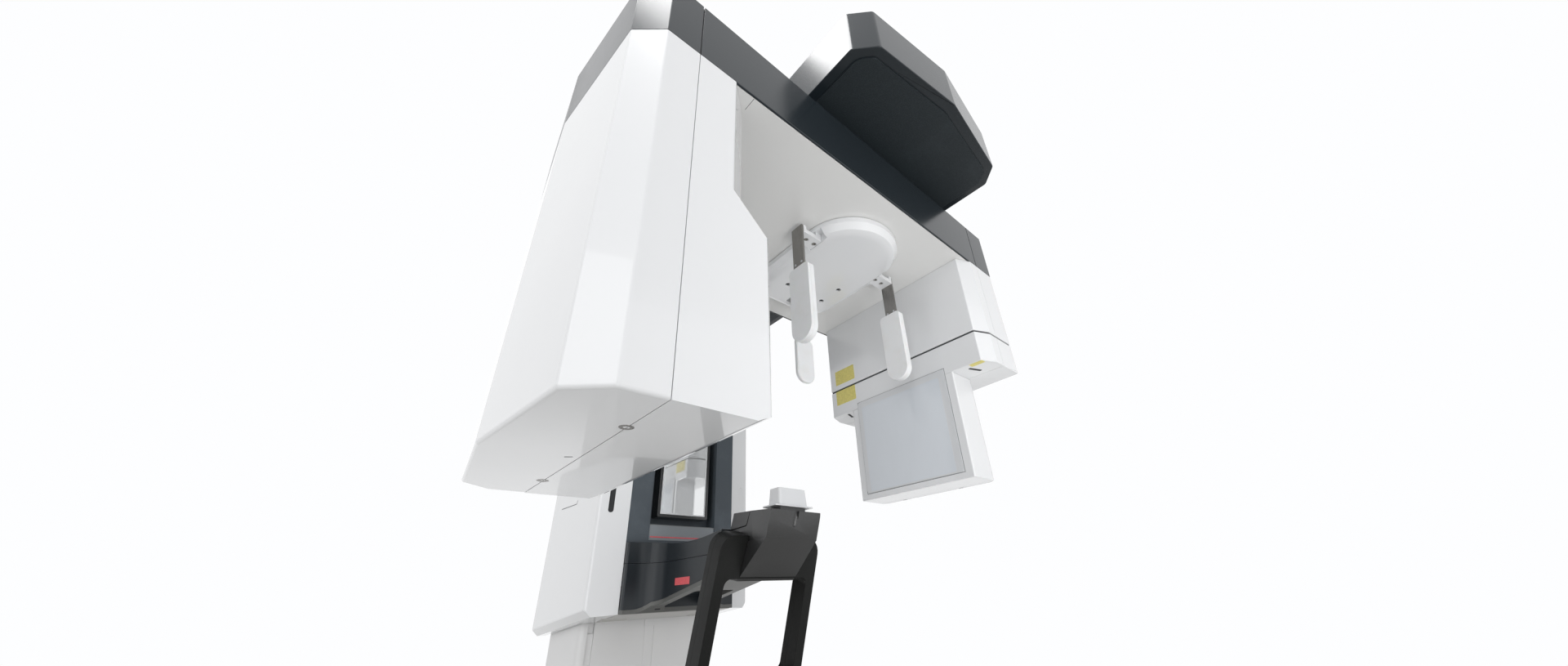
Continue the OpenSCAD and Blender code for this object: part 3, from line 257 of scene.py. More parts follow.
@dataclass(frozen=True)
class GlossPaint(Recipe):
    """Lacquered shell: a clear coat over an even colour, with a faint flow texture and cloudiness."""

    roughness: float = 0.2
    coat: float = 1.0
    coat_roughness: float = 0.03
    flow: float = 0.000012
    specular: float = 0.5

    def paint(self, g: Graph) -> bpy.types.Material:
        """Makes the nodes."""
        cloud = g.noise(g.place((1.0, 1.0, 0.5)), 4.0, 3.0, 0.5)
        fine = g.noise(g.place(), 70.0, 3.0, 0.6)
        flow = g.noise(g.place(), 160.0, 1.0)
        return g.surface(
            Base_Color=g.mix(cloud * 0.6 + fine * 0.25, self.colour, shaded(self.colour, 0.97)),
            Roughness=cloud * 0.04 + fine * 0.04 + self.roughness,
            Normal=g.bump(flow, self.flow, 0.5),
            Specular_IOR_Level=self.specular,
            Coat_Weight=self.coat,
            Coat_Roughness=self.coat_roughness,
        )


@dataclass(frozen=True)
class SatinPaint(Recipe):
    """Painted metal with a fine dry texture."""

    roughness: float = 0.34
    coat: float = 0.15
    grain: float = 900.0

    def paint(self, g: Graph) -> bpy.types.Material:
        """Makes the nodes."""
        cloud = g.noise(g.place(), 9.0, 4.0, 0.55)
        grain = g.noise(g.place(), self.grain, 2.0)
        return g.surface(
            Base_Color=g.mix(cloud * 0.7 + grain * 0.2, self.colour, shaded(self.colour, 1.10, 0.004)),
            Roughness=cloud * 0.10 + grain * 0.06 + (self.roughness - 0.06),
            Normal=g.bump(grain, 0.00004, 0.7),
            Coat_Weight=self.coat,
            Coat_Roughness=0.2,
        )


@dataclass(frozen=True)
class GrainPlastic(Recipe):
    """Moulded plastic with a spark-eroded grain: the grain's raised tips are lightened as painted highlight, the pits
    keep the plain colour, and rubbed places are lighter from wear.
    """

    roughness: float = 0.5
    scale: float = 520.0
    depth: float = 0.0001
    specular: float = 0.3
    # How much the grain's raised tips are lightened: painted highlight.
    grain_tip_sheen: float = 0.5

    def paint(self, g: Graph) -> bpy.types.Material:
        """Makes the nodes."""
        cells = g.cells(self.scale)
        fine = g.noise(g.place(), self.scale * 1.7, 2.0)
        rubbed = g.noise(g.place(), 7.0, 4.0, 0.6).above(0.5, 0.2)
        height = 1.0 - cells * 0.9 + fine * 0.5
        # Painted highlight on the grain's raised tips, plus real rubbing.
        sheen_and_rubbing = height.above(0.75, 0.5) * self.grain_tip_sheen + rubbed * 0.12
        return g.surface(
            Base_Color=g.mix(sheen_and_rubbing, self.colour, shaded(self.colour, 2.6, 0.010)),
            Roughness=self.roughness - rubbed * 0.06 + fine * 0.08,
            Normal=g.bump(height, self.depth, 0.7),
            Specular_IOR_Level=self.specular,
        )


@dataclass(frozen=True)
class BrushedMetal(Recipe):
    """Metal brushed or ground along one axis."""

    stretch: Triple = (900.0, 900.0, 14.0)
    roughness: float = 0.26

    def paint(self, g: Graph) -> bpy.types.Material:
        """Makes the nodes."""
        lines = g.noise(g.place(self.stretch), 1.0, 3.0, 0.7)
        cloud = g.noise(g.place(), 22.0, 3.0)
        return g.surface(
            Base_Color=g.mix(lines * 0.7 + cloud * 0.2, shaded(self.colour, 0.78), self.colour),
            Metallic=1.0,
            Roughness=lines * 0.16 + cloud * 0.06 + (self.roughness - 0.08),
            Normal=g.bump(lines, 0.00003, 0.5),
        )


@dataclass(frozen=True)
class CastMetal(Recipe):
    """Blasted casting with machined sheen."""

    def paint(self, g: Graph) -> bpy.types.Material:
        """Makes the nodes."""
        skin = g.noise(g.place(), 420.0, 3.0, 0.6)
        cloud = g.noise(g.place(), 16.0, 4.0)
        return g.surface(
            Base_Color=g.mix(cloud, shaded(self.colour, 0.8), self.colour),
            Metallic=1.0,
            Roughness=skin * 0.2 + 0.38,
            Normal=g.bump(skin, 0.00012, 0.6),
        )


@dataclass(frozen=True)
class ThreadedSteel(Recipe):
    """Ground steel screw: its thread is a fine relief along Z, its grooves darkened in colour as painted shade."""

    pitch: float = 0.005
    scale_of_pitch: float = 0.314

    def paint(self, g: Graph) -> bpy.types.Material:
        """Makes the nodes."""
        settings = {"wave_type": "BANDS", "bands_direction": "Z", "wave_profile": "SIN"}
        turns = {"Vector": g.place(), "Scale": self.scale_of_pitch / self.pitch}
        thread = g.add("ShaderNodeTexWave", settings, turns, "Fac")
        # Painted shade: the colour darkens in the thread's grooves.
        return g.surface(
            Base_Color=g.mix(thread, shaded(self.colour, 0.45), self.colour),
            Metallic=1.0,
            Roughness=0.42 - thread * 0.18,
            Normal=g.bump(thread, 0.0008, 0.9),
        )


@dataclass(frozen=True)
class SoftSkin(Recipe):
    """Wipe-clean skin of the pads: fine pores and slight shading where heads rest."""

    roughness: float = 0.36

    def paint(self, g: Graph) -> bpy.types.Material:
        """Makes the nodes."""
        pores = g.cells(900.0)
        worn = g.noise(g.place(), 26.0, 4.0, 0.6)
        shade = tuple(c * f for c, f in zip(self.colour, (0.955, 0.95, 0.93)))
        return g.surface(
            Base_Color=g.mix(worn.above(0.45, 0.3) * 0.7, self.colour, shade),
            Roughness=worn * 0.14 + self.roughness,
            Normal=g.bump(pores, 0.00005, 0.5),
            Subsurface_Weight=0.05,
            Subsurface_Scale=0.003,
        )


@dataclass(frozen=True)
class ClearGlass(Recipe):
    """Polished front: a mirror's silver, or the tinted window over the sensor."""

    metal: float = 0.0
    roughness: float = 0.04

    def paint(self, g: Graph) -> bpy.types.Material:
        """Makes the nodes."""
        wipe = g.noise(g.place((1.0, 1.0, 0.3), (0.0, 0.5, 0.3)), 18.0, 4.0, 0.65)
        return g.surface(
            Base_Color=g.mix(wipe.above(0.45, 0.3) * 0.6, self.colour, shaded(self.colour, 0.97)),
            Metallic=self.metal,
            Roughness=wipe.above(0.5, 0.3) * 0.03 + self.roughness,
            Coat_Weight=0.0 if self.metal else 0.8,
            Coat_Roughness=0.03,
        )


@dataclass(frozen=True)
class PlainField(Recipe):
    """A plain printed field: even colour, its ink slightly mottled."""

    roughness: float = 0.38

    def paint(self, g: Graph) -> bpy.types.Material:
        """Makes the nodes."""
        ink = g.noise(g.place(), 240.0, 3.0, 0.6)
        return g.surface(
            Base_Color=g.mix(ink.above(0.35, 0.35), shaded(self.colour, 0.86), self.colour),
            Roughness=ink * 0.12 + self.roughness,
            Normal=g.bump(ink, 0.00002, 0.5),
        )


class Finish(Enum):
    """Every finish on the scanner, each with the record's slot that it stands for."""

    SHELL = (GlossPaint("white lacquer", (0.83, 0.84, 0.855)), "shell_white")
    COLUMN = (SatinPaint("column paint", (0.78, 0.78, 0.78), 0.3, 0.3, 700.0), "column_white")
    PLATE = (SatinPaint("floor plate paint", (0.52, 0.53, 0.54), 0.42, 0.0, 500.0), "plate_grey")
    BAND = (GlossPaint("dark band lacquer", (0.016, 0.022, 0.027), 0.17, 0.0, 0.1, 0.000006), "band_grey")
    CHIN = (GrainPlastic("chin moulding", (0.020, 0.0205, 0.021), 0.34, specular=0.9, grain_tip_sheen=0.35), "arm_charcoal")
    GRIP = (GrainPlastic("grip moulding", (0.009, 0.0095, 0.009), 0.42, specular=0.18, grain_tip_sheen=0.12), "arm_charcoal")
    COVER = (GrainPlastic("cover moulding", (0.018, 0.024, 0.028), 0.42, grain_tip_sheen=0.4), "front_black")
    # Front black lightened well above the other blacks to stand for the front's reflection: painted sheen.
    PANEL = (GrainPlastic("panel moulding", (0.084, 0.100, 0.116), 0.45, grain_tip_sheen=0.08), "front_black")
    STRIP = (SatinPaint("strip paint", (0.250, 0.272, 0.292), 0.4, 0.0), "front_black")
    ROOT = (GlossPaint("root lacquer", (0.018, 0.023, 0.028), 0.25, 0.0, 0.1, 0.000006, 0.36), "arm_charcoal")
    PIANO = (GlossPaint("mirror frame lacquer", (0.008, 0.009, 0.010), 0.2, 0.6, 0.08, 0.000005), "front_black")
    TRAY = (SatinPaint("pale tray", (0.50, 0.49, 0.47), 0.3, 0.2), "tray_grey")
    # The pale tray grey darkened for the arm's tray, which sits under the arm: painted shade.
    LIP = (SatinPaint("tray lip paint", (0.110, 0.112, 0.106), 0.4, 0.1), "tray_grey")
    UNDERSIDE = (GlossPaint("pale underside", (0.80, 0.80, 0.79), 0.3, 0.5, 0.15), "underside_grey")
    PAD = (SoftSkin("pad skin", (0.86, 0.87, 0.88)), "pad_white")
    STEEL = (BrushedMetal("brushed steel", (0.31, 0.30, 0.285)), "steel")
    SCREW = (ThreadedSteel("lifting screw", (0.60, 0.60, 0.60)), "steel")
    CASTING = (CastMetal("casting", (0.60, 0.61, 0.63)), "cast_aluminium")
    FRAME = (SatinPaint("frame paint", (0.085, 0.09, 0.10), 0.45, 0.0), "frame_steel")
    DRIVE = (SatinPaint("drive housing", (0.020, 0.020, 0.022), 0.4, 0.1), "drive_black")
    MIRROR = (ClearGlass("mirror silver", (0.97, 0.98, 0.985), 0.7, 0.01), "mirror_silver")
    WINDOW = (ClearGlass("sensor window", (0.71, 0.75, 0.80), 0.0, 0.12), "sensor_blue")
    SURROUND = (GlossPaint("window surround", (0.70, 0.715, 0.735), 0.25, 0.8, 0.05), "shell_white")
    OUTLINE = (SatinPaint("window outline", (0.24, 0.25, 0.26), 0.4, 0.1), None)
    RED = (GlossPaint("red button", (0.58, 0.012, 0.012), 0.2, 1.0, 0.04), "button_red")
    YELLOW = (PlainField("plain yellow field", (0.88, 0.78, 0.25)), None)
    RED_FIELD = (PlainField("plain red field", (0.85, 0.13, 0.15)), None)
    # Steel lightened far above the plain steel so that the column's shadowed slots read pale: painted light.
    RAIL = (BrushedMetal("ground rail", (0.80, 0.80, 0.79), (900.0, 900.0, 6.0), 0.34), "steel")
    # Near-black for sheets laid in seams, slots and holes where there is only shade: painted shade.
    DARK_GAP = (SatinPaint("dark gap", (0.012, 0.012, 0.014), 0.6, 0.0), None)
    # Grey for thin lines that stand for the shade of grooves and edges: painted shade.
    SOFT_LINE = (SatinPaint("soft line", (0.17, 0.175, 0.18), 0.5, 0.0), None)

    def material(self) -> bpy.types.Material:
        """The finish's material, made when it is first asked for."""
        recipe = self.value[0]
        return bpy.data.materials.get(recipe.name) or recipe.build()

    def wear(self, piece: Piece) -> Piece:
        """Gives the whole piece this finish."""
        piece.data.materials.clear()
        piece.data.materials.append(self.material())
        return piece


# ---------------------------------------------------------------- modelling


def along(axis: int) -> Triple:
    """The unit vector of axis 0, 1 or 2."""
    return tuple(1.0 if n == axis else 0.0 for n in range(3))


def basis(origin: Sequence[float], out: Sequence[float], up: Sequence[float]) -> Matrix:
    """A place whose own Z points along out and whose own Y lies nearest to up.

    Args:
        origin: Its origin, in millimetres.
        out: Direction of its Z.
        up: Direction that its Y follows.

    Returns:
        The matrix, in metres.
    """
    z = Vector(out).normalized()
    x = Vector(up).cross(z).normalized()
    turn = Matrix((x, z.cross(x), z)).transposed().to_4x4()
    return Matrix.Translation([v * MM for v in origin]) @ turn


def box_of(node: str) -> tuple[Vector, Vector]:
    """Low and high corner of a CAD node, in millimetres."""
    low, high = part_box(node)
    return low / MM, high / MM


@dataclass(frozen=True)
class Seam:
    """A plane where two shells meet, in millimetres; edges on it stay nearly sharp."""

    point: Triple
    normal: Triple
    reach: float = 0.5

    def holds(self, ends: list[Vector]) -> bool:
        """Whether both ends of an edge, in millimetres, lie on the plane."""
        return all(abs((end - Vector(self.point)).dot(Vector(self.normal))) < self.reach for end in ends)

    @staticmethod
    def across(axis: int, *places: float) -> tuple[Seam, ...]:
        """The planes square to an axis, at places in millimetres."""
        unit = along(axis)
        return tuple(Seam(tuple(place * u for u in unit), unit) for place in places)


@dataclass(frozen=True)
class Rounding:
    """How wide each sharp edge of a piece is rounded, in millimetres."""

    width: float
    segments: int = 3
    over: float = 32.0
    seams: tuple[Seam, ...] = ()
    seam_width: float = 0.4
    bands: tuple[tuple[Triple, Triple, float], ...] = ()

    def at(self, edge: bmesh.types.BMEdge) -> float:
        """Width of one edge.

        Args:
            edge: The edge, in metres.

        Returns:
            The seam's width on a seam, else that of the first band between whose corners the edge
            lies, else the general one.
        """
        ends = [vertex.co / MM for vertex in edge.verts]
        if any(seam.holds(ends) for seam in self.seams):
            return self.seam_width
        for low, high, width in self.bands:
            if all(low[i] <= end[i] <= high[i] for end in ends for i in range(3)):
                return width
        return self.width


class Bench:
    """Blender's own operators on one piece at a time, as by hand; lengths are in millimetres."""

    smooth_under = 42.0
    same_point = 0.02
    flat_angle = 0.4
    no_area = 0.002

    @staticmethod
    def only(*pieces: Piece) -> None:
        """Selects these pieces and nothing else; the last is active."""
        bpy.ops.object.select_all(action="DESELECT")
        for piece in pieces:
            piece.select_set(True)
        bpy.context.view_layer.objects.active = pieces[-1]

    @staticmethod
    @contextmanager
    def editing(piece: Piece, pick: FacePick | None = None) -> Iterator[None]:
        """Edit mode with the picked faces selected, or all of them, and back to object mode."""
        Bench.only(piece)
        bpy.ops.object.mode_set(mode="EDIT")
        bpy.ops.mesh.select_mode(type="FACE")
        bpy.ops.mesh.select_all(action="SELECT" if pick is None else "DESELECT")
        if pick is not None:
            mesh = bmesh.from_edit_mesh(piece.data)
            for face in mesh.faces:
                if pick(face):
                    face.select_set(True)
            mesh.select_flush(True)
            bmesh.update_edit_mesh(piece.data)
        yield
        bpy.ops.object.mode_set(mode="OBJECT")

    @staticmethod
    def modify(piece: Piece, kind: str, **settings: object) -> None:
        """Adds a modifier with its settings and applies it."""
        Bench.only(piece)
        modifier = piece.modifiers.new(kind.title(), kind)
        for key, value in settings.items():
            setattr(modifier, key, value)
        bpy.ops.object.modifier_apply(modifier=modifier.name)

    @staticmethod
    def cut(piece: Piece, form: Piece) -> None:
        """Cuts a form out of a piece and removes the form."""
        Bench.modify(piece, "BOOLEAN", operation="DIFFERENCE", object=form, solver="EXACT")
        bpy.data.objects.remove(form)

    @staticmethod
    def soften(piece: Piece, width: float, segments: int = 3, over: float = 32.0) -> None:
        """Rounds every edge sharper than over degrees, and shades the piece smooth between sharp edges."""
        Bench.modify(
            piece, "BEVEL", width=width * MM, segments=segments, limit_method="ANGLE",
            angle_limit=math.radians(over), use_clamp_overlap=True,
        )
        Bench.smooth(piece)

    @staticmethod
    def soften_by(piece: Piece, rule: Rounding) -> None:
        """Rounds the sharp edges of a piece, each as wide as the rule says, seams hardly at all."""
        widest = max([rule.width] + [width for _, _, width in rule.bands])
        mesh = bmesh.new()
        mesh.from_mesh(piece.data)
        layer = mesh.edges.layers.float.new("bevel_weight_edge")
        for edge in mesh.edges:
            if len(edge.link_faces) == 2 and edge.calc_face_angle(0.0) > math.radians(rule.over):
                edge[layer] = rule.at(edge) / widest
        mesh.to_mesh(piece.data)
        mesh.free()
        Bench.modify(
            piece, "BEVEL", width=widest * MM, segments=rule.segments, limit_method="WEIGHT", use_clamp_overlap=True
        )
        with Bench.editing(piece):
            bpy.ops.mesh.dissolve_degenerate(threshold=Bench.no_area * MM)
        Bench.smooth(piece)

    @staticmethod
    def smooth(piece: Piece) -> None:
        """Smooth shading between sharp edges, weighted so that flat faces stay flat."""
        Bench.only(piece)
        bpy.ops.object.shade_smooth_by_angle(angle=math.radians(Bench.smooth_under))
        Bench.modify(piece, "WEIGHTED_NORMAL", keep_sharp=True, weight=60)

    @staticmethod
    def groove(piece: Piece, axis: int, place: float, width: float, depth: float) -> None:
        """Cuts a groove round the outside of a piece, square to an axis.

        Args:
            piece: The piece.
            axis: 0, 1 or 2 for X, Y or Z.
            place: Middle of the groove along the axis.
            width: Its width.
            depth: Its depth.
        """
        normal = along(axis)
        low, high = (place - width / 2) * MM, (place + width / 2) * MM
        for cut in (low, high):
            with Bench.editing(piece):
                bpy.ops.mesh.bisect(plane_co=[cut * n for n in normal], plane_no=normal)
        with Bench.editing(piece, lambda f: low < f.calc_center_median()[axis] < high and abs(f.normal[axis]) < 0.5):
            bpy.ops.mesh.extrude_region_shrink_fatten(TRANSFORM_OT_shrink_fatten={"value": -depth * MM})

    @staticmethod
    def primitive(
        name: str, add: Callable[..., object], scale: Sequence[float] = (1.0, 1.0, 1.0), **settings: object
    ) -> Piece:
        """Adds one primitive, as the start of a piece, and puts its place and scale into its mesh."""
        bpy.ops.object.select_all(action="DESELECT")
        add(**settings)
        piece = bpy.context.active_object
        piece.name = name
        piece.scale = scale
        bpy.ops.object.transform_apply(location=True, rotation=True, scale=True)
        return piece

    @staticmethod
    def block(name: str, low: Sequence[float], high: Sequence[float]) -> Piece:
        """A block between two corners."""
        middle = [(a + b) / 2 * MM for a, b in zip(low, high)]
        scale = [(b - a) * MM for a, b in zip(low, high)]
        return Bench.primitive(name, bpy.ops.mesh.primitive_cube_add, scale, size=1, location=middle)

    @staticmethod
    def ring(name: str, low: Sequence[float], high: Sequence[float], wall: float, axis: int) -> Piece:
        """A rectangular ring between two corners, open along an axis."""
        piece = Bench.block(name, low, high)
        past = [-wall if n == axis else wall for n in range(3)]
        inner_low, inner_high = [v + p for v, p in zip(low, past)], [v - p for v, p in zip(high, past)]
        Bench.cut(piece, Bench.block("opening", inner_low, inner_high))
        return piece

    @staticmethod
    def settle(piece: Piece, place: Matrix) -> Piece:
        """Moves a piece to its place, in metres, and puts the place into its mesh."""
        piece.matrix_world = place
        Bench.only(piece)
        bpy.ops.object.transform_apply(location=True, rotation=True, scale=True)
        return piece

    @staticmethod
    def put(name: str, data: bpy.types.ID) -> Piece:
        """Puts a new object that holds this data into the scene."""
        made = bpy.data.objects.new(name, data)
        bpy.context.scene.collection.objects.link(made)
        return made

    @staticmethod
    def join(name: str, pieces: list[Piece]) -> Piece:
        """Joins pieces into one."""
        Bench.only(*pieces)
        if len(pieces) > 1:
            bpy.ops.object.join()
        joined = bpy.context.active_object
        joined.name = name
        return joined

    @staticmethod
    def repeat(name: str, model: Piece, places: list[Matrix]) -> Piece:
        """Copies a model to each place, joins the copies and removes the model."""
        copies = [Bench.settle(Bench.put(name, model.data.copy()), place) for place in places]
        bpy.data.objects.remove(model)
        return Bench.join(name, copies)


def clad(
    node: str, finish: Finish, edge: Union[float, Rounding], segments: int = 3, shape: Shaping | None = None
) -> Piece:
    """A finished copy of a CAD node with its edges rounded, in the node's place.

    Args:
        node: The CAD node.
        finish: Its finish.
        edge: Width of the rounding in millimetres, or the rule that gives each edge its own.
        segments: Steps of the rounding, where edge is a width.
        shape: What changes its shape before the edges are rounded, if anything does.

    Returns:
        The piece, which stands for the node and rides on its body.
    """
    source = frame["nodes"][node]
    piece = Bench.put(node + "_skin", source.data.copy())
    Bench.only(piece)
    if piece.data.has_custom_normals:
        bpy.ops.mesh.customdata_custom_splitnormals_clear()
    with Bench.editing(piece):
        bpy.ops.mesh.remove_doubles(threshold=Bench.same_point * MM)
        bpy.ops.mesh.dissolve_limited(angle_limit=math.radians(Bench.flat_angle))
    if shape is not None:
        shape(piece)
    if isinstance(edge, Rounding):
        Bench.soften_by(piece, edge)
    else:
        Bench.soften(piece, edge, segments)
    finish.wear(piece)
    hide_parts(node)
    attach(piece, source["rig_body"])
    log.info("%s: %d faces", piece.name, len(piece.data.polygons))
    return piece


@dataclass(frozen=True)
class Cover:
    """A CAD node's finish and rounding in millimetres; without a rounding it keeps its own mesh."""

    node: str
    finish: Finish
    edge: float = 0.0
    segments: int = 3

    def build(self) -> None:
        """Dresses the node."""
        if self.edge:
            clad(self.node, self.finish, self.edge, self.segments)
            return
        piece = frame["nodes"][self.node]
        piece.data.materials.clear()
        piece.data.materials.append(self.finish.material())
        log.info("%s: CAD mesh", self.node)


def ride(piece: Piece, body: str, finish: Finish) -> None:
    """Finishes a piece and lets it ride on a body."""
    finish.wear(piece)
    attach(piece, body)
    log.info("%s on %s: %d faces", piece.name, body, len(piece.data.polygons))


def bars(
    name: str, body: str, spans: Iterable[tuple[Triple, Triple]], finish: Finish, edge: float, segments: int
) -> None:
    """Rounded bars, joined into one piece.

    Args:
        name: Its name.
        body: The body that it rides on.
        spans: Low and high corner of each bar, in millimetres.
        finish: Its finish.
        edge: Width of the rounding in millimetres.
        segments: Steps of the rounding.
    """
    piece = Bench.join(name, [Bench.block(name, low, high) for low, high in spans])
    Bench.soften(piece, edge, segments)
    ride(piece, body, finish)


@dataclass(frozen=True)
class Plate:
    """A thin plate with rounded corners, in millimetres; its middle lies on the surface that carries it."""

    name: str
    body: str
    finish: Finish
    middle: Triple
    size: Pair
    out: Triple
    up: Triple = UP
    thick: float = 0.3
    corner: float = 1.5
    corner_steps: int = 4
    most_edge: float = 0.4

    def build(self) -> None:
        """Models the plate, face outwards, and lets it ride on its body."""
        scale = (self.size[0] * MM, self.size[1] * MM, 1.0)
        piece = Bench.primitive(self.name, bpy.ops.mesh.primitive_plane_add, scale, size=1)
        with Bench.editing(piece):
            bpy.ops.mesh.bevel(offset=self.corner * MM, segments=self.corner_steps, affect="VERTICES")
            bpy.ops.mesh.select_all(action="SELECT")
            bpy.ops.mesh.extrude_region_move(TRANSFORM_OT_translate={"value": (0, 0, self.thick * MM)})
            bpy.ops.mesh.select_all(action="SELECT")
            bpy.ops.mesh.normals_make_consistent(inside=False)
        Bench.settle(piece, basis(self.middle, self.out, self.up))
        Bench.soften(piece, min(self.thick * 0.4, self.most_edge), 2, 50.0)
        ride(piece, self.body, self.finish)


@dataclass(frozen=True)
class SocketScrew:
    """A cap screw with a hexagon socket, in millimetres, modelled once and copied."""

    radius: float = 4.6
    height: float = 2.4
    socket: float = 2.6
    depth: float = 1.6
    chamfer: float = 0.45
    chamfer_over: float = 60.0

    def model(self) -> Piece:
        """Models the head, its top at Z 0."""
        add = bpy.ops.mesh.primitive_cylinder_add
        place = (0, 0, -self.height * MM / 2)
        head = Bench.primitive(
            "screw_head", add, vertices=36, radius=self.radius * MM, depth=self.height * MM, location=place
        )
        over = math.radians(self.chamfer_over)
        Bench.modify(head, "BEVEL", width=self.chamfer * MM, segments=2, limit_method="ANGLE", angle_limit=over)
        hexagon = Bench.primitive("hexagon", add, vertices=6, radius=self.socket * MM, depth=2 * self.depth * MM)
        Bench.cut(head, hexagon)
        Bench.smooth(head)
        return head

    def set_in(self, name: str, body: str, places: list[Matrix], finish: Finish = Finish.STEEL) -> None:
        """Copies the screw to each place, its head level with the surface, as one piece."""
        ride(Bench.repeat(name, self.model(), places), body, finish)


# ---------------------------------------------------------------- sub-assemblies


class Assembly:
    """A sub-assembly: nodes that are simply dressed, and more that its own methods model."""

    covers: tuple[Cover, ...] = ()

    def build(self) -> None:
        """Dresses the simple nodes, in order."""
        for cover in self.covers:
            cover.build()


@dataclass(frozen=True)
class Strip:
    """An upright strip in one of the column's slots, in millimetres."""

    name: str
    body: str
    x: float
    width: float
    y: Pair
    z: Pair
    edge: float

    def build(self) -> None:
        """Models the strip and lets it ride on its body."""
        low, high = ((self.x + side * self.width / 2, self.y[n], self.z[n]) for n, side in enumerate((-1, 1)))
        bars(self.name, self.body, [(low, high)], Finish.COLUMN, self.edge, 2)


@dataclass
class Foot(Assembly):
    """Floor plate, column, its cap, rails, lifting screw and wall bracket."""

    covers: tuple[Cover, ...] = (
        Cover("base_plate", Finish.PLATE, 2.5),
        Cover("column", Finish.COLUMN, 1.5, 2),
        Cover("column_cap", Finish.COLUMN, 2.0),
        Cover("wall_bracket", Finish.PLATE, 0.8, 2),
        Cover("guide_rails", Finish.RAIL),
        Cover("lift_screw", Finish.SCREW),
    )
    anchor: Triple = (280.0, 170.0, 24.0)
    anchor_screw: SocketScrew = SocketScrew(radius=10.0, height=8.0, socket=5.6, depth=4.5)
    # The covers end below the carriage's lowest place; the wipers ride on it and close each slot just under it.
    strips: tuple[Strip, ...] = (
        Strip("left_guide_cover", "base", -156.0, 15.4, (-44.0, -42.0), (17.0, 794.0), 0.5),
        Strip("right_guide_cover", "base", 156.0, 15.4, (-44.0, -42.0), (17.0, 794.0), 0.5),
        Strip("screw_cover", "base", 0.0, 25.4, (-46.6, -44.6), (17.0, 804.0), 0.5),
        Strip("left_guide_wiper", "carriage", -156.0, 14.6, (-40.5, -39.0), (790.0, 893.0), 0.4),
        Strip("right_guide_wiper", "carriage", 156.0, 14.6, (-40.5, -39.0), (790.0, 893.0), 0.4),
        Strip("screw_wiper", "carriage", 0.0, 32.0, (-49.4, -48.0), (801.0, 856.0), 0.4),
    )

    def build(self) -> None:
        """Builds and dresses the foot and the column."""
        super().build()
        x, y, z = self.anchor
        places = [basis((i * x, j * y, z), UP, BEHIND) for i in (-1, 1) for j in (-1, 1)]
        self.anchor_screw.set_in("floor_anchor_heads", "base", places)
        for strip in self.strips:
            strip.build()


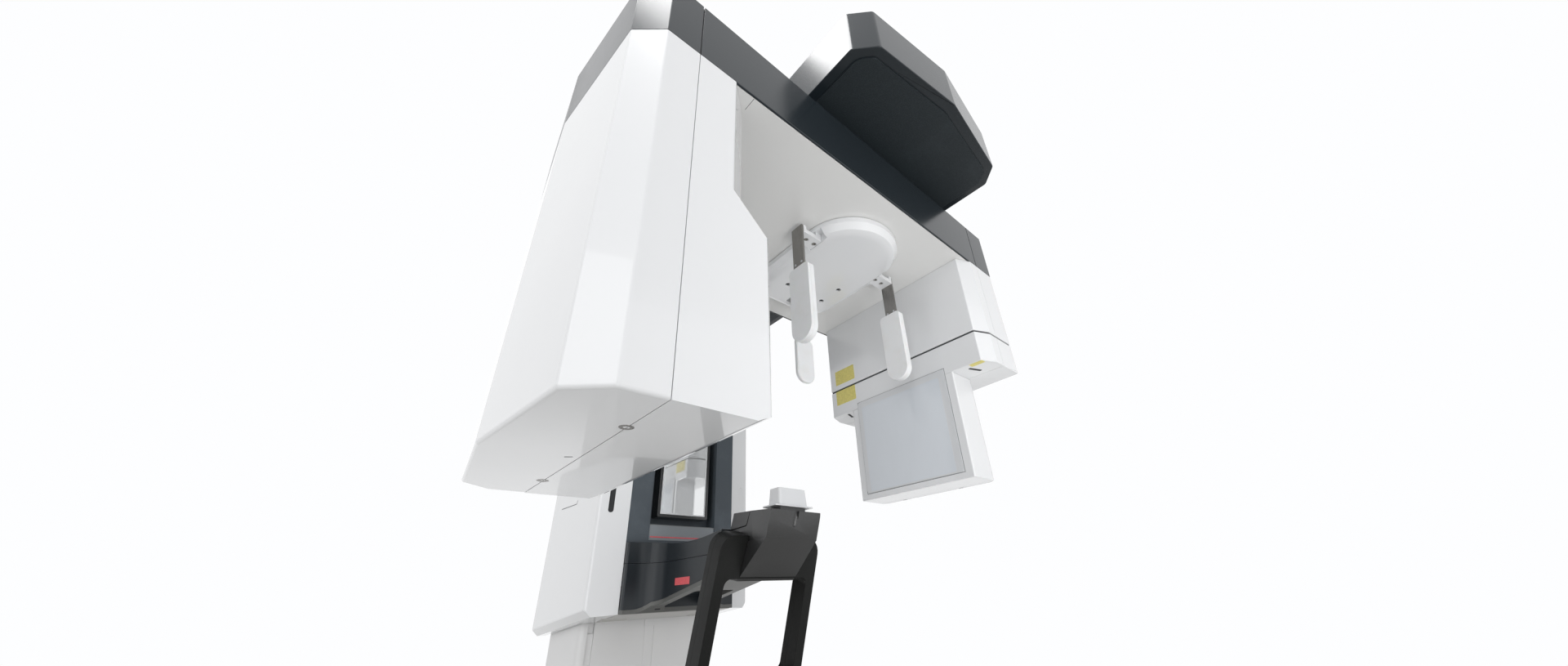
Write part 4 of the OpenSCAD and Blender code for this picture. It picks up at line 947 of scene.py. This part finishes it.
@dataclass
class CarriageHousing(Assembly):
    """Side shells, black front with the mirror, strip and bottom tray."""

    covers: tuple[Cover, ...] = (
        Cover("mirror_frame", Finish.PIANO, 1.0),
        Cover("mirror_glass", Finish.MIRROR, 0.8, 2),
        Cover("name_strip", Finish.STRIP, 0.6, 2),
        Cover("bottom_tray", Finish.TRAY, 1.5),
        Cover("carriage_frame", Finish.FRAME),
        Cover("guide_blocks", Finish.DRIVE),
        Cover("lift_drive", Finish.DRIVE),
    )
    shell_edge: float = 2.2
    low_edge: float = 8.0
    low_band: tuple[Triple, Triple] = ((210.0, -400.0, 780.0), (229.0, 300.0, 849.0))
    front_edge: float = 1.2
    front_half: float = 156.3
    panel_half: float = 155.3
    side_x: float = 228.0
    strip_plates: tuple[Plate, ...] = (
        Plate("strip_line", "carriage", Finish.RED_FIELD, (0.0, -195.0, 1007.0), (188.0, 3.0), AHEAD, corner=0.6),
        # A grey line along the strip's top edge: painted shade.
        Plate("strip_edge", "carriage", Finish.SOFT_LINE, (0.0, -195.0, 1037.2), (194.0, 1.4), AHEAD, corner=0.4),
    )
    # Y and Z of the hook's end, the line's start and its end.
    mark: tuple[Pair, ...] = ((-11.4, 1116.6), (-6.0, 1107.6), (117.0, 1112.0))
    mark_width: float = 2.4
    mark_over: float = 1.0
    mark_form: Pair = (0.12, 0.6)
    vent: Triple = (199.5, -183.0, 1112.0)
    facet_out: Triple = (0.302, -0.953, 0.0)
    # How deep behind the facet, size, thickness and corner radius.
    # The left slot's black sheet is painted shade.
    vent_shade_sheet: tuple[float, Pair, float, float] = (4.0, (24.0, 112.0), 1.0, 10.0)
    blank: tuple[float, Pair, float, float] = (3.1, (12.6, 99.6), 3.0, 6.2)
    rim_wall: float = 3.2
    rim_y: Pair = (-1.2, 0.4)
    rim_edge: float = 0.4

    def build(self) -> None:
        """Builds and dresses the carriage's housing."""
        (x0, *low), (x1, *high) = self.low_band
        for side, sign in (("left", -1), ("right", 1)):
            inner, outer = sorted((sign * x0, sign * x1))
            bands = (((inner, *low), (outer, *high), self.low_edge),)
            seams = Seam.across(0, sign * self.front_half)
            clad(f"{side}_side_shell", Finish.SHELL, Rounding(self.shell_edge, 4, seams=seams, bands=bands))
        seams = Seam.across(0, -self.panel_half, self.panel_half)
        clad("front_panel", Finish.PANEL, Rounding(self.front_edge, seams=seams))
        super().build()
        for plate in self.strip_plates:
            plate.build()
        self._grip_marks()
        self._vents()
        self._mirror_glint_ring()

    def _grip_marks(self) -> None:
        """A grey line with a hooked end on each side shell, painted shade of a shallow grip groove."""
        hook, start, end = self.mark
        for side, sign in (("left", -1.0), ("right", 1.0)):
            for count, (a, b) in enumerate(((start, end), (hook, start))):
                middle = (sign * self.side_x, (a[0] + b[0]) / 2, (a[1] + b[1]) / 2)
                size = (math.dist(a, b) + self.mark_over, self.mark_width)
                up = (0.0, a[1] - b[1], b[0] - a[0])
                name = f"{side}_shell_line_{count}"
                out = (sign, 0.0, 0.0)
                Plate(name, "carriage", Finish.SOFT_LINE, middle, size, out, up, *self.mark_form).build()

    def _vents(self) -> None:
        """A black sheet behind the left shell's slot as painted shade, and the white blank that closes the right
        one's.
        """
        x, y, z = self.vent
        out_x, out_y, _ = self.facet_out
        deep, size, thick, corner = self.vent_shade_sheet
        spot, inwards = (out_x * deep - x, y - out_y * deep, z), (out_x, -out_y, 0.0)
        Plate("left_vent_liner", "carriage", Finish.DARK_GAP, spot, size, inwards, UP, thick, corner).build()
        deep, size, thick, corner = self.blank
        spot = (x - out_x * deep, y - out_y * deep, z)
        Plate("right_vent_blank", "carriage", Finish.SHELL, spot, size, self.facet_out, UP, thick, corner).build()

    def _mirror_glint_ring(self) -> None:
        """A white ring round the mirror glass: painted highlight of the glass's bevel."""
        low, high = box_of("mirror_glass")
        front, back = (low.y + step for step in self.rim_y)
        piece = Bench.ring("mirror_rim", (low.x, front, low.z), (high.x, back, high.z), self.rim_wall, 1)
        Bench.soften(piece, self.rim_edge, 2)
        ride(piece, "carriage", Finish.SHELL)


@dataclass
class SupportArm(Assembly):
    """Root block, arm, its pale tray painted darker as shade, and emergency button."""

    covers: tuple[Cover, ...] = (
        Cover("emergency_collar", Finish.DRIVE, 1.2),
        Cover("emergency_button", Finish.RED, 0.8),
    )
    arm_edge: float = 2.4
    tray_edge: float = 1.0
    belly_edge: float = 1.2
    top_edge: float = 7.0
    top: float = 991.0
    dip_y: Pair = (-500.0, -222.0)
    dip: float = 11.0
    dip_steps: int = 14
    half: float = 75.0
    slack: float = 1.0
    wide_slack: float = 2.0
    seam_z: Pair = (943.0, 942.2)
    # A dark plate where the tray's slot shows: painted shade.
    slot_shade_plate: Plate = Plate(
        "tray_drain", "carriage", Finish.DARK_GAP, (-69.0, -220.0, 841.0), (15.0, 4.0), (0.0, -0.66, -0.75),
        thick=0.2, corner=1.9,
    )
    field: Plate = Plate("arm_field", "carriage", Finish.RED_FIELD, (-75.0, -341.0, 896.25), (66.0, 15.5), LEFT)

    def build(self) -> None:
        """Builds and dresses the support arm."""
        seams = Seam.across(2, *self.seam_z)
        low_y, high_y = self.dip_y
        low = (-self.half - self.wide_slack, low_y, self.top - self.dip - self.wide_slack)
        high = (self.half + self.wide_slack, high_y + self.slack, self.top + self.slack)
        rule = Rounding(self.arm_edge, 4, seams=seams, bands=((low, high, self.top_edge),))
        clad("support_arm", Finish.ROOT, rule, shape=self._hollow)
        clad("support_arm_belly", Finish.ROOT, Rounding(self.belly_edge, seams=seams))
        # The arm's tray wears the tray grey darkened as painted shade.
        clad("support_arm_tray", Finish.LIP, self.tray_edge)
        self.slot_shade_plate.build()
        super().build()
        self.field.build()

    def _hollow(self, arm: Piece) -> None:
        """Lets the arm's top sag in one shallow curve between its root and the chin head."""
        low_y, high_y = self.dip_y
        for step in range(self.dip_steps + 1):
            cut = low_y + (high_y - low_y) * step / self.dip_steps
            with Bench.editing(arm):
                bpy.ops.mesh.bisect(plane_co=(0, cut * MM, 0), plane_no=BEHIND)
        for vertex in arm.data.vertices:
            share = (vertex.co.y / MM - low_y) / (high_y - low_y)
            if vertex.co.z > (self.top - self.slack) * MM and 0 < share < 1:
                vertex.co.z -= self.dip * math.sin(math.pi * share) * MM


@dataclass(frozen=True)
class Turn:
    """A corner of the chin cover's seam, seen from the side in millimetres of Y and Z.

    old is its place in the CAD and new the one it is led to; opens says along which axes the cover draws
    back from it. Above the height over, Y alone decides whether a vertex belongs to it.
    """

    old: Pair
    new: Pair
    opens: Pair
    over: float = math.inf
    on_facet: bool = True
    reach: float = 1.6

    def holds(self, y: float, z: float) -> bool:
        """Whether a vertex at this place belongs to the corner."""
        return math.dist((y, z), self.old) < self.reach or (abs(y - self.old[0]) < self.reach and z > self.over)


@dataclass
class ChinRest:
    """Chin head with its cover, chin cup on its post, and the grip frame."""

    head_edge: float = 1.8
    cover_edge: float = 1.0
    cup_edge: float = 1.6
    grip_edge: float = 5.0
    grip_seam: Seam = Seam((0.0, -558.8, 958.6), (0.0, -0.95, -0.3123))
    grip_seam_edge: float = 0.9
    turns: tuple[Turn, ...] = (
        Turn((-561.3, 1016.6), (-592.0, 1013.9), (1.0, 0.0), over=1010.0),
        Turn((-561.0, 1004.0), (-578.0, 990.0), (1.0, 1.0)),
        Turn((-529.0, 992.0), (-573.0, 986.4), (0.0, 1.0)),
        Turn((-524.0, 986.0), (-560.0, 986.0), (0.0, 1.0)),
        Turn((-499.5, 986.0), (-499.5, 986.0), (0.0, 1.0), on_facet=False),
    )
    cover_gap: float = 1.2
    side_x: float = 50.0
    facet: Triple = (67.6, -593.0, 0.1553)
    # Name, first and last corner, and half width of each dark sheet under the seam, which is painted shade.
    seam_shades: tuple[tuple[str, int, int, float], ...] = (
        ("cover_filler_front", 0, 1, 62.0), ("cover_filler_floor", 3, 4, 49.0),
    )
    seam_shade_short: float = 1.2
    seam_shade_z: Pair = (0.5, 1.5)
    seam_shade_edge: float = 0.2
    groove_top: Triple = (0.0, -670.1498, 1020.9874)
    groove_along: Triple = (0.0, 0.343, -0.939)
    groove_out: Triple = (0.0, -0.939, -0.343)
    groove_radius: float = 6.6
    groove_length: float = 42.0
    groove_end_share: float = 0.999

    def build(self) -> None:
        """Builds and dresses the chin rest and the grips."""
        clad("chin_head", Finish.CHIN, self.head_edge, shape=self._shape_head)
        clad("chin_head_cover", Finish.CHIN, self.cover_edge, shape=self._shape_cover)
        self._lay_seam_shades()
        clad("chin_cup", Finish.SHELL, self.cup_edge)
        rule = Rounding(self.grip_edge, 4, seams=(self.grip_seam,), seam_width=self.grip_seam_edge)
        for node in ("grip_front", "grip_rear"):
            clad(node, Finish.GRIP, rule)
        Cover("chin_post", Finish.STEEL).build()

    def _lead_seam(self, piece: Piece, gap: float) -> None:
        """Leads the cover's seam down the side as on the real one.

        Args:
            piece: The head or its cover.
            gap: How far the piece draws back from the seam, in millimetres.
        """
        half, start, taper = self.facet
        for vertex in piece.data.vertices:
            turn = next((t for t in self.turns if t.holds(vertex.co.y / MM, vertex.co.z / MM)), None)
            if turn is None:
                continue
            vertex.co.y += (turn.new[0] - turn.old[0] + gap * turn.opens[0]) * MM
            vertex.co.z += (turn.new[1] - turn.old[1] + gap * turn.opens[1]) * MM
            if abs(vertex.co.x) > self.side_x * MM and turn.on_facet:
                reach = half - taper * max(vertex.co.y / MM - start, 0.0)
                vertex.co.x = math.copysign(reach * MM, vertex.co.x)

    def _shape_cover(self, cover: Piece) -> None:
        """Leads the seam and draws the cover back from it, wide enough to read as a dark line."""
        self._lead_seam(cover, self.cover_gap)

    def _shape_head(self, head: Piece) -> None:
        """Leads the seam and scoops the finger groove, with a round end, out of the head's front."""
        self._lead_seam(head, 0.0)
        down, out = Vector(self.groove_along), Vector(self.groove_out)
        radius, length = self.groove_radius * MM, self.groove_length * MM
        rod = Bench.primitive(
            "groove_rod", bpy.ops.mesh.primitive_cylinder_add,
            vertices=40, radius=radius, depth=length, location=(0, 0, length / 2),
        )
        Bench.cut(head, Bench.settle(rod, basis(self.groove_top, down, out)))
        radius *= self.groove_end_share
        ball = Bench.primitive(
            "groove_end", bpy.ops.mesh.primitive_uv_sphere_add, segments=40, ring_count=20, radius=radius
        )
        end = Vector(self.groove_top) + down * self.groove_length
        Bench.cut(head, Bench.settle(ball, basis(end, down, out)))
        with Bench.editing(head):
            bpy.ops.mesh.remove_doubles(threshold=Bench.same_point * MM)
            bpy.ops.mesh.dissolve_degenerate(threshold=Bench.same_point * MM)

    def _lay_seam_shades(self) -> None:
        """Dark sheets, painted shade, that close the cover's seam a little below the surface."""
        z0, z1 = self.seam_shade_z
        for name, first, last, half in self.seam_shades:
            start, end = (Vector((0.0, *self.turns[corner].new)) for corner in (first, last))
            run = end - start
            reach = run.length / 2 - self.seam_shade_short
            sheet = Bench.block(name, (-half, -reach, z0), (half, reach, z1))
            Bench.settle(sheet, basis((start + end) / 2, Vector(RIGHT).cross(run), run))
            Bench.soften(sheet, self.seam_shade_edge, 1)
            ride(sheet, "carriage", Finish.DARK_GAP)


@dataclass
class UpperArm(Assembly):
    """Fixed upper arm: shell, bottom cover, beam, hollow shaft and slewing motor."""

    covers: tuple[Cover, ...] = (
        Cover("upper_arm_shell", Finish.BAND, 4.0),
        Cover("upper_arm_cover", Finish.COVER, 2.0),
        Cover("upper_arm_beam", Finish.FRAME),
        Cover("hollow_shaft", Finish.STEEL),
        Cover("slew_motor", Finish.DRIVE),
    )


@dataclass
class HeadSupport:
    """Head plate, temple rests and forehead rest."""

    plate_edge: float = 3.0
    block_edge: float = 1.0
    plate_over: float = 25.0
    bar_faces: Pair = (146.0, 151.0)
    bar_edge: float = 0.5
    pad_edge: float = 5.5
    pad_welt: float = 6.5
    brow_edge: float = 4.2
    brow_welt: float = 5.0
    welt_depth: float = 0.7
    pad_groove: float = 1.3
    brow_groove: float = 1.2
    middle_y: float = -865.0
    rivet_radius: float = 2.7
    rivet_flatness: float = 0.5
    rivet_z: float = 1445.0
    rivet_y: tuple[float, ...] = (-9.0, 9.0)
    block_x: Pair = (102.0, 125.0)
    # Kind, screw, height of its top and finish of what is sunk into a temple block.
    block_heads: tuple[tuple[str, SocketScrew, float, Finish], ...] = (
        ("screws", SocketScrew(radius=4.2), 1521.7, Finish.STEEL),
        # A dark disc on each hole's floor round the screw, so that the ring reads dark: painted shade.
        ("washers", SocketScrew(radius=4.9, height=0.8, socket=2.0, depth=0.4), 1523.5, Finish.DRIVE),
    )
    hole_x: Pair = (-56.0, 56.0)
    hole_y: Pair = (-786.0, -726.0)
    hole_z: float = 1519.0
    hole_screw: SocketScrew = SocketScrew(radius=5.9, height=3.0, socket=2.8, depth=1.6)

    def build(self) -> None:
        """Builds and dresses the head support."""
        clad("head_plate", Finish.SHELL, Rounding(self.plate_edge, 4, self.plate_over))
        for side, sign in (("left", -1), ("right", 1)):
            clad(f"{side}_temple_block", Finish.SHELL, self.block_edge)
            clad(f"{side}_temple_bar", Finish.STEEL, self.bar_edge, 2)
            node = f"{side}_temple_pad"
            low, high = box_of(node)
            welt = low.x + self.pad_welt if side == "left" else high.x - self.pad_welt
            self._pad(node, f"{side}_temple_cushion", self.pad_edge, 0, welt, self.pad_groove)
            self._rivets(side, sign)
            for kind, screw, top, finish in self.block_heads:
                places = [basis((sign * x, self.middle_y, top), DOWN, BEHIND) for x in self.block_x]
                screw.set_in(f"{side}_block_{kind}", f"{side}_temple_rest", places, finish)
        clad("forehead_bar", Finish.STEEL, self.bar_edge, 2)
        _, high = box_of("forehead_pad")
        welt = high.y - self.brow_welt
        self._pad("forehead_pad", "forehead_cushion", self.brow_edge, 1, welt, self.brow_groove)
        places = [basis((x, y, self.hole_z), DOWN, BEHIND) for x in self.hole_x for y in self.hole_y]
        self.hole_screw.set_in("head_plate_screws", "carriage", places, Finish.DRIVE)

    def _pad(self, node: str, name: str, edge: float, axis: int, welt: float, width: float) -> None:
        """A crowned pad with a welt round its edge.

        Args:
            node: The CAD node that it stands for.
            name: Its name.
            edge: Width of its rounding.
            axis: The axis that the welt is square to.
            welt: The welt's place along that axis.
            width: The width of the welt's groove.
        """
        pad = clad(node, Finish.PAD, edge, 5)
        pad.name = name
        Bench.groove(pad, axis, welt, width, self.welt_depth)
        Bench.smooth(pad)

    def _rivets(self, side: str, sign: int) -> None:
        """Two small rivets on both faces of the bar, above the pad."""
        add = bpy.ops.mesh.primitive_uv_sphere_add
        head = Bench.primitive("rivet_head", add, segments=20, ring_count=10, radius=self.rivet_radius * MM)
        with Bench.editing(head):
            bpy.ops.mesh.bisect(plane_co=(0, 0, 0), plane_no=UP, clear_inner=True, use_fill=True)
        Bench.settle(head, Matrix.Diagonal((1, 1, self.rivet_flatness, 1)))
        places = [
            basis((sign * x, self.middle_y + y, self.rivet_z), (sign * face, 0, 0), UP)
            for y in self.rivet_y for face, x in zip((-1, 1), self.bar_faces)
        ]
        rivets = Bench.repeat(f"{side}_bar_rivets", head, places)
        Bench.smooth(rivets)
        ride(rivets, f"{side}_temple_rest", Finish.CASTING)


@dataclass
class TurningArm(Assembly):
    """Dark band, pale underside, top cover and the casting inside."""

    covers: tuple[Cover, ...] = (
        Cover("arm_top_cover", Finish.BAND, 1.0),
        Cover("arm_underside", Finish.UNDERSIDE, 1.0),
        Cover("arm_casting", Finish.CASTING),
        Cover("slew_ring", Finish.STEEL),
        Cover("sensor_rail", Finish.STEEL),
    )
    band_edge: float = 1.2
    seam_x: Pair = (-486.0, 291.0)
    seam_half: float = 1.0
    seam_edge: float = 0.3
    seam_more: float = 0.6
    faces_y: tuple[Pair, ...] = ((-1033.3, -1031.0), (-569.0, -566.7))
    strip_half: float = 0.8
    strip_edge: float = 0.2
    strip_z: Pair = (1551.5, 1671.0)
    # A dark line at the underside's joint: painted shade.
    joint: Plate = Plate(
        "underside_joint", "turning_arm", Finish.DARK_GAP, (-386.5, -1018.0, 1550.0), (24.0, 0.8), DOWN, RIGHT,
        thick=0.1, corner=0.3,
    )

    def build(self) -> None:
        """Builds and dresses the turning arm."""
        seams = Seam.across(0, *(x + side * self.seam_half for x in self.seam_x for side in (-1, 1)))
        rule = Rounding(self.band_edge, seams=seams, seam_width=self.seam_edge)
        for node in ("arm_band", "source_end_band", "detector_end_band"):
            clad(node, Finish.BAND, rule, shape=self._open_seams)
        super().build()
        self.joint.build()
        # Dark strips inside the band's seams: painted shade.
        z0, z1 = self.strip_z
        spans = [
            ((x - self.strip_half, y0, z0), (x + self.strip_half, y1, z1))
            for x in self.seam_x for y0, y1 in self.faces_y
        ]
        bars("band_seam_strips", "turning_arm", spans, Finish.DARK_GAP, self.strip_edge, 1)

    def _open_seams(self, band: Piece) -> None:
        """Draws the ends of a band back from its seams, so that they read as dark lines."""
        for vertex in band.data.vertices:
            for x in self.seam_x:
                away = vertex.co.x / MM - x
                if abs(away) < self.seam_more:
                    vertex.co.x += math.copysign(self.seam_more, away) * MM


@dataclass
class SourceHousing(Assembly):
    """The two white shells round the X-ray source, with what they hold."""

    covers: tuple[Cover, ...] = (Cover("source_frame", Finish.FRAME), Cover("tube_unit", Finish.CASTING))
    edge: float = 3.0
    rim: tuple[Triple, Triple, float] = ((-700.0, -1100.0, 1014.0), (-300.0, -500.0, 1016.0), 4.5)
    seams: tuple[Seam, ...] = Seam.across(0, -486.0) + Seam.across(2, 1549.7)
    screw: SocketScrew = SocketScrew(radius=8.0, height=3.0, socket=4.4, depth=2.0)
    screw_x: float = -487.0
    screw_y: Pair = (-941.0, -661.0)
    screw_z: float = 1014.6
    # A small dark plate on the source's bottom by the seam: painted shade.
    mark: Plate = Plate(
        "source_mark", "turning_arm", Finish.DARK_GAP, (-498.0, -801.0, 1015.0), (10.0, 1.8), DOWN,
        (-0.534, -0.845, 0.0), thick=0.2, corner=0.8,
    )

    def build(self) -> None:
        """Builds and dresses the source housing."""
        for node in ("source_end_cap", "source_inner_shell"):
            clad(node, Finish.SHELL, Rounding(self.edge, 4, seams=self.seams, bands=(self.rim,)))
        super().build()
        places = [basis((self.screw_x, y, self.screw_z), DOWN, BEHIND) for y in self.screw_y]
        self.screw.set_in("source_seam_screws", "turning_arm", places)
        self.mark.build()


@dataclass
class DetectorUnit:
    """Upper and lower detector housing, flat sensor and its window."""

    edge: float = 2.2
    seams: tuple[Seam, ...] = Seam.across(0, 291.0) + Seam.across(2, 1549.7)
    case_seam: float = 296.0
    case_groove: float = 1.2
    # A form is a plate's thickness and the radius of its corners.
    tint_middle: Pair = (-798.0, 1170.0)
    tint_size: Pair = (228.0, 212.0)
    tint_form: Pair = (0.25, 3.0)
    window_edge: float = 0.7
    outline_grow: float = 1.4
    outline_wall: float = 1.3
    outline_x: Pair = (-0.2, 0.1)
    plan: tuple[Pair, ...] = (
        (222.0, -1018.0), (262.0, -1034.5), (360.5, -1034.5), (375.0, -800.0),
        (360.5, -565.5), (262.0, -565.5), (222.0, -582.0),
    )
    gap_z: Pair = (1350.1, 1351.9)
    gap_depth: Pair = (2.0, 9.0)
    gap_short: float = 1.5
    gap_edge: float = 0.3
    # Name, body, middle, size, outward and upward direction and form of each plain yellow field.
    fields: tuple[tuple[str, str, Triple, Pair, Triple, Triple, Pair], ...] = (
        ("upper_field", "turning_arm", (222.0, -635.7, 1387.0), (69.0, 42.0), LEFT, UP, (0.25, 2.0)),
        ("lower_field", "sensor", (222.0, -633.4, 1328.0), (69.0, 40.0), LEFT, UP, (0.25, 2.0)),
        ("underside_field", "sensor", (230.5, -1003.5, 1278.0), (31.0, 15.0), DOWN, RIGHT, (0.25, 1.5)),
    )
    floor_z: float = 1278.0
    slot_width: float = 7.0
    slot_form: Pair = (0.2, 2.2)
    slots: tuple[tuple[str, Pair, Pair], ...] = (
        ("front_slot", (239.6, -979.2), (271.9, -991.1)), ("rear_slot", (230.9, -627.9), (259.4, -617.6)),
    )
    case_slots: tuple[Triple, ...] = ((303.0, -717.5, 1047.0), (303.0, -868.0, 1047.0))
    case_slot_size: Pair = (11.0, 2.4)
    case_slot_form: Pair = (0.15, 1.1)

    def build(self) -> None:
        """Builds and dresses the detector."""
        for node in ("detector_housing", "detector_end_cap", "sensor_housing", "sensor_end_cap"):
            clad(node, Finish.SHELL, Rounding(self.edge, seams=self.seams))
        case = clad("sensor_case", Finish.SHELL, self.edge)
        Bench.groove(case, 0, self.case_seam, self.case_groove, self.case_groove)
        Bench.smooth(case)
        self._window()
        Cover("sensor_carriage", Finish.DRIVE).build()
        for name, body, middle, size, out, up, form in self.fields:
            Plate(name, body, Finish.YELLOW, middle, size, out, up, *form).build()
        self._slots()
        self._gap_shade_strips()

    def _window(self) -> None:
        """Pale surround of the window, its tint, and the thin grey frame let in round it."""
        clad("sensor_window", Finish.SURROUND, self.window_edge, 2)
        low, high = box_of("sensor_window")
        middle = (low.x, *self.tint_middle)
        size, form = self.tint_size, self.tint_form
        Plate("sensor_window_tint", "sensor", Finish.WINDOW, middle, size, LEFT, UP, *form).build()
        grow, (inner, outer) = self.outline_grow, self.outline_x
        frame_low = (high.x + inner, low.y - grow, low.z - grow)
        frame_high = (high.x + outer, high.y + grow, high.z + grow)
        piece = Bench.ring("window_outline", frame_low, frame_high, self.outline_wall, 0)
        Bench.smooth(piece)
        ride(piece, "sensor", Finish.OUTLINE)

    def _slots(self) -> None:
        """Dark plates as painted shade of two slanting slots in the lower housing's bottom, and of two small ones in
        the case's.
        """
        for name, a, b in self.slots:
            middle = ((a[0] + b[0]) / 2, (a[1] + b[1]) / 2, self.floor_z)
            size, up = (math.dist(a, b), self.slot_width), (b[1] - a[1], a[0] - b[0], 0.0)
            Plate(name, "sensor", Finish.DARK_GAP, middle, size, DOWN, up, *self.slot_form).build()
        for count, middle in enumerate(self.case_slots):
            name, size = f"case_slot_{count}", self.case_slot_size
            Plate(name, "sensor", Finish.DARK_GAP, middle, size, DOWN, RIGHT, *self.case_slot_form).build()

    def _gap_shade_strips(self) -> None:
        """Dark strips just inside the gap between the two housings: painted shade."""
        (z0, z1), (near, far) = self.gap_z, self.gap_depth
        strips = []
        for start, end in zip(self.plan, self.plan[1:] + self.plan[:1]):
            half = math.dist(start, end) / 2 - self.gap_short
            strip = Bench.block("gap_strip", (-half, near, z0), (half, far, z1))
            middle = [(a + b) / 2 * MM for a, b in zip(start, end)]
            turn = Matrix.Rotation(math.atan2(end[1] - start[1], end[0] - start[0]), 4, "Z")
            strips.append(Bench.settle(strip, Matrix.Translation((*middle, 0.0)) @ turn))
        ring = Bench.join("gap_strips", strips)
        Bench.soften(ring, self.gap_edge, 1)
        ride(ring, "turning_arm", Finish.DARK_GAP)


# ---------------------------------------------------------------- stage


@dataclass
class Studio:
    """Camera of the photograph, soft lamps, pale world and floor."""

    camera_place: Triple = (-0.6685, -1.4000, 0.8500)
    camera_right: Triple = (0.74422472, -0.66629974, -0.04662864)
    camera_down: Triple = (0.27735134, 0.37178597, -0.88591841)
    camera_ahead: Triple = (0.60762308, 0.64638986, 0.46149144)
    focal_px: float = 569.24
    middle_px: Pair = (977.22, 434.75)
    image_px: tuple[int, int] = (1920, 815)
    sensor_mm: float = 36.0
    world_light: float = 0.56
    background: float = 1.0
    clip_m: Pair = (0.02, 60.0)
    # Name, place, target, width and length in metres, power in watts and spread in degrees.
    lamps: tuple[tuple[str, Triple, Triple, Pair, float, float], ...] = (
        ("ceiling_lamp", (-0.82, -1.035, 2.9), (-0.82, -1.035, 1.2), (0.74, 0.83), 17.0, 180.0),
        ("left_lamp", (-3.1, -2.5, 1.7), (-0.1, -0.8, 1.3), (3.2, 3.2), 33.0, 180.0),
        ("front_lamp", (0.6, -4.2, 1.6), (0.0, -0.6, 1.2), (3.2, 3.2), 14.0, 180.0),
        ("low_lamp", (-0.15, -2.2, 0.35), (0.1, -0.8, 1.5), (0.8, 0.8), 1.6, 60.0),
    )
    floor_radius: float = 14.0
    floor_middle: Triple = (0.0, -0.4, -0.0005)
    shadow_edge: Pair = (1.0, 2.2)

    def build(self) -> None:
        """Sets up the camera, the lamps, the world and the floor."""
        self._camera()
        self._world()
        self._floor()
        for name, place, target, size, power, spread in self.lamps:
            data = bpy.data.lights.new(name, "AREA")
            data.shape = "RECTANGLE"
            data.size, data.size_y = size
            data.spread = math.radians(spread)
            data.energy = power
            lamp = Bench.put(name, data)
            lamp.location = place
            lamp.rotation_euler = (Vector(target) - Vector(place)).to_track_quat("-Z", "Y").to_euler()

    def _camera(self) -> None:
        """The photograph's camera, from its vanishing points."""
        data = bpy.data.cameras.new("camera")
        width, height = self.image_px
        data.sensor_fit = "HORIZONTAL"
        data.sensor_width = self.sensor_mm
        data.lens = self.focal_px * self.sensor_mm / width
        data.shift_x = (width / 2 - self.middle_px[0]) / width
        data.shift_y = (self.middle_px[1] - height / 2) / width
        data.clip_start, data.clip_end = self.clip_m
        camera = Bench.put("camera", data)
        right, up, back = Vector(self.camera_right), -Vector(self.camera_down), -Vector(self.camera_ahead)
        camera.matrix_world = Matrix.Translation(self.camera_place) @ Matrix((right, up, back)).transposed().to_4x4()
        bpy.context.scene.camera = camera

    def _world(self) -> None:
        """Pale light from everywhere, white where it is seen or reflected."""
        world = bpy.data.worlds.new("pale room")
        g = Graph(world)
        background = g.nodes["Background"]
        seen = g.rays("Camera", "Glossy", "Transmission")
        g.feed(background.inputs["Strength"], seen * (self.background - self.world_light) + self.world_light)
        g.feed(background.inputs["Color"], PALE_SKY)
        bpy.context.scene.world = world
        bpy.context.scene.view_settings.view_transform = "Standard"

    def _floor(self) -> None:
        """A pale floor that keeps the shadow and fades into the white round it."""
        floor = Bench.primitive(
            "floor", bpy.ops.mesh.primitive_circle_add,
            vertices=96, radius=self.floor_radius, fill_type="NGON", location=self.floor_middle,
        )
        g = Graph(bpy.data.materials.new("pale floor"))
        g.surface(Base_Color=(0.62, 0.615, 0.60), Roughness=0.6)
        middle = (*self.floor_middle[:2], 0.0)
        from_middle = g.add("ShaderNodeVectorMath", {"operation": "SUBTRACT"}, {0: g.place(), 1: middle})
        away = g.add("ShaderNodeVectorMath", {"operation": "LENGTH"}, {0: from_middle}, "Value")
        white = g.add("ShaderNodeEmission", inputs={"Color": PALE_SKY, "Strength": 1.0})
        factor = away.above(*self.shadow_edge) * g.rays("Camera", "Glossy")
        pale = Value(g, g.nodes["Principled BSDF"].outputs[0])
        shown = g.add("ShaderNodeMixShader", inputs={0: factor, 1: pale, 2: white})
        g.feed(g.nodes["Material Output"].inputs["Surface"], shown)
        floor.data.materials.append(g.owner)


def main() -> None:
    """Builds the stage and every sub-assembly in order."""
    logging.basicConfig(level=logging.INFO, format="%(name)s: %(message)s")
    for part in (
        Studio, Foot, CarriageHousing, SupportArm, ChinRest, UpperArm, HeadSupport, TurningArm, SourceHousing,
        DetectorUnit,
    ):
        part().build()
        log.info("%s built", part.__name__)


if __name__ == "__main__":
    main()
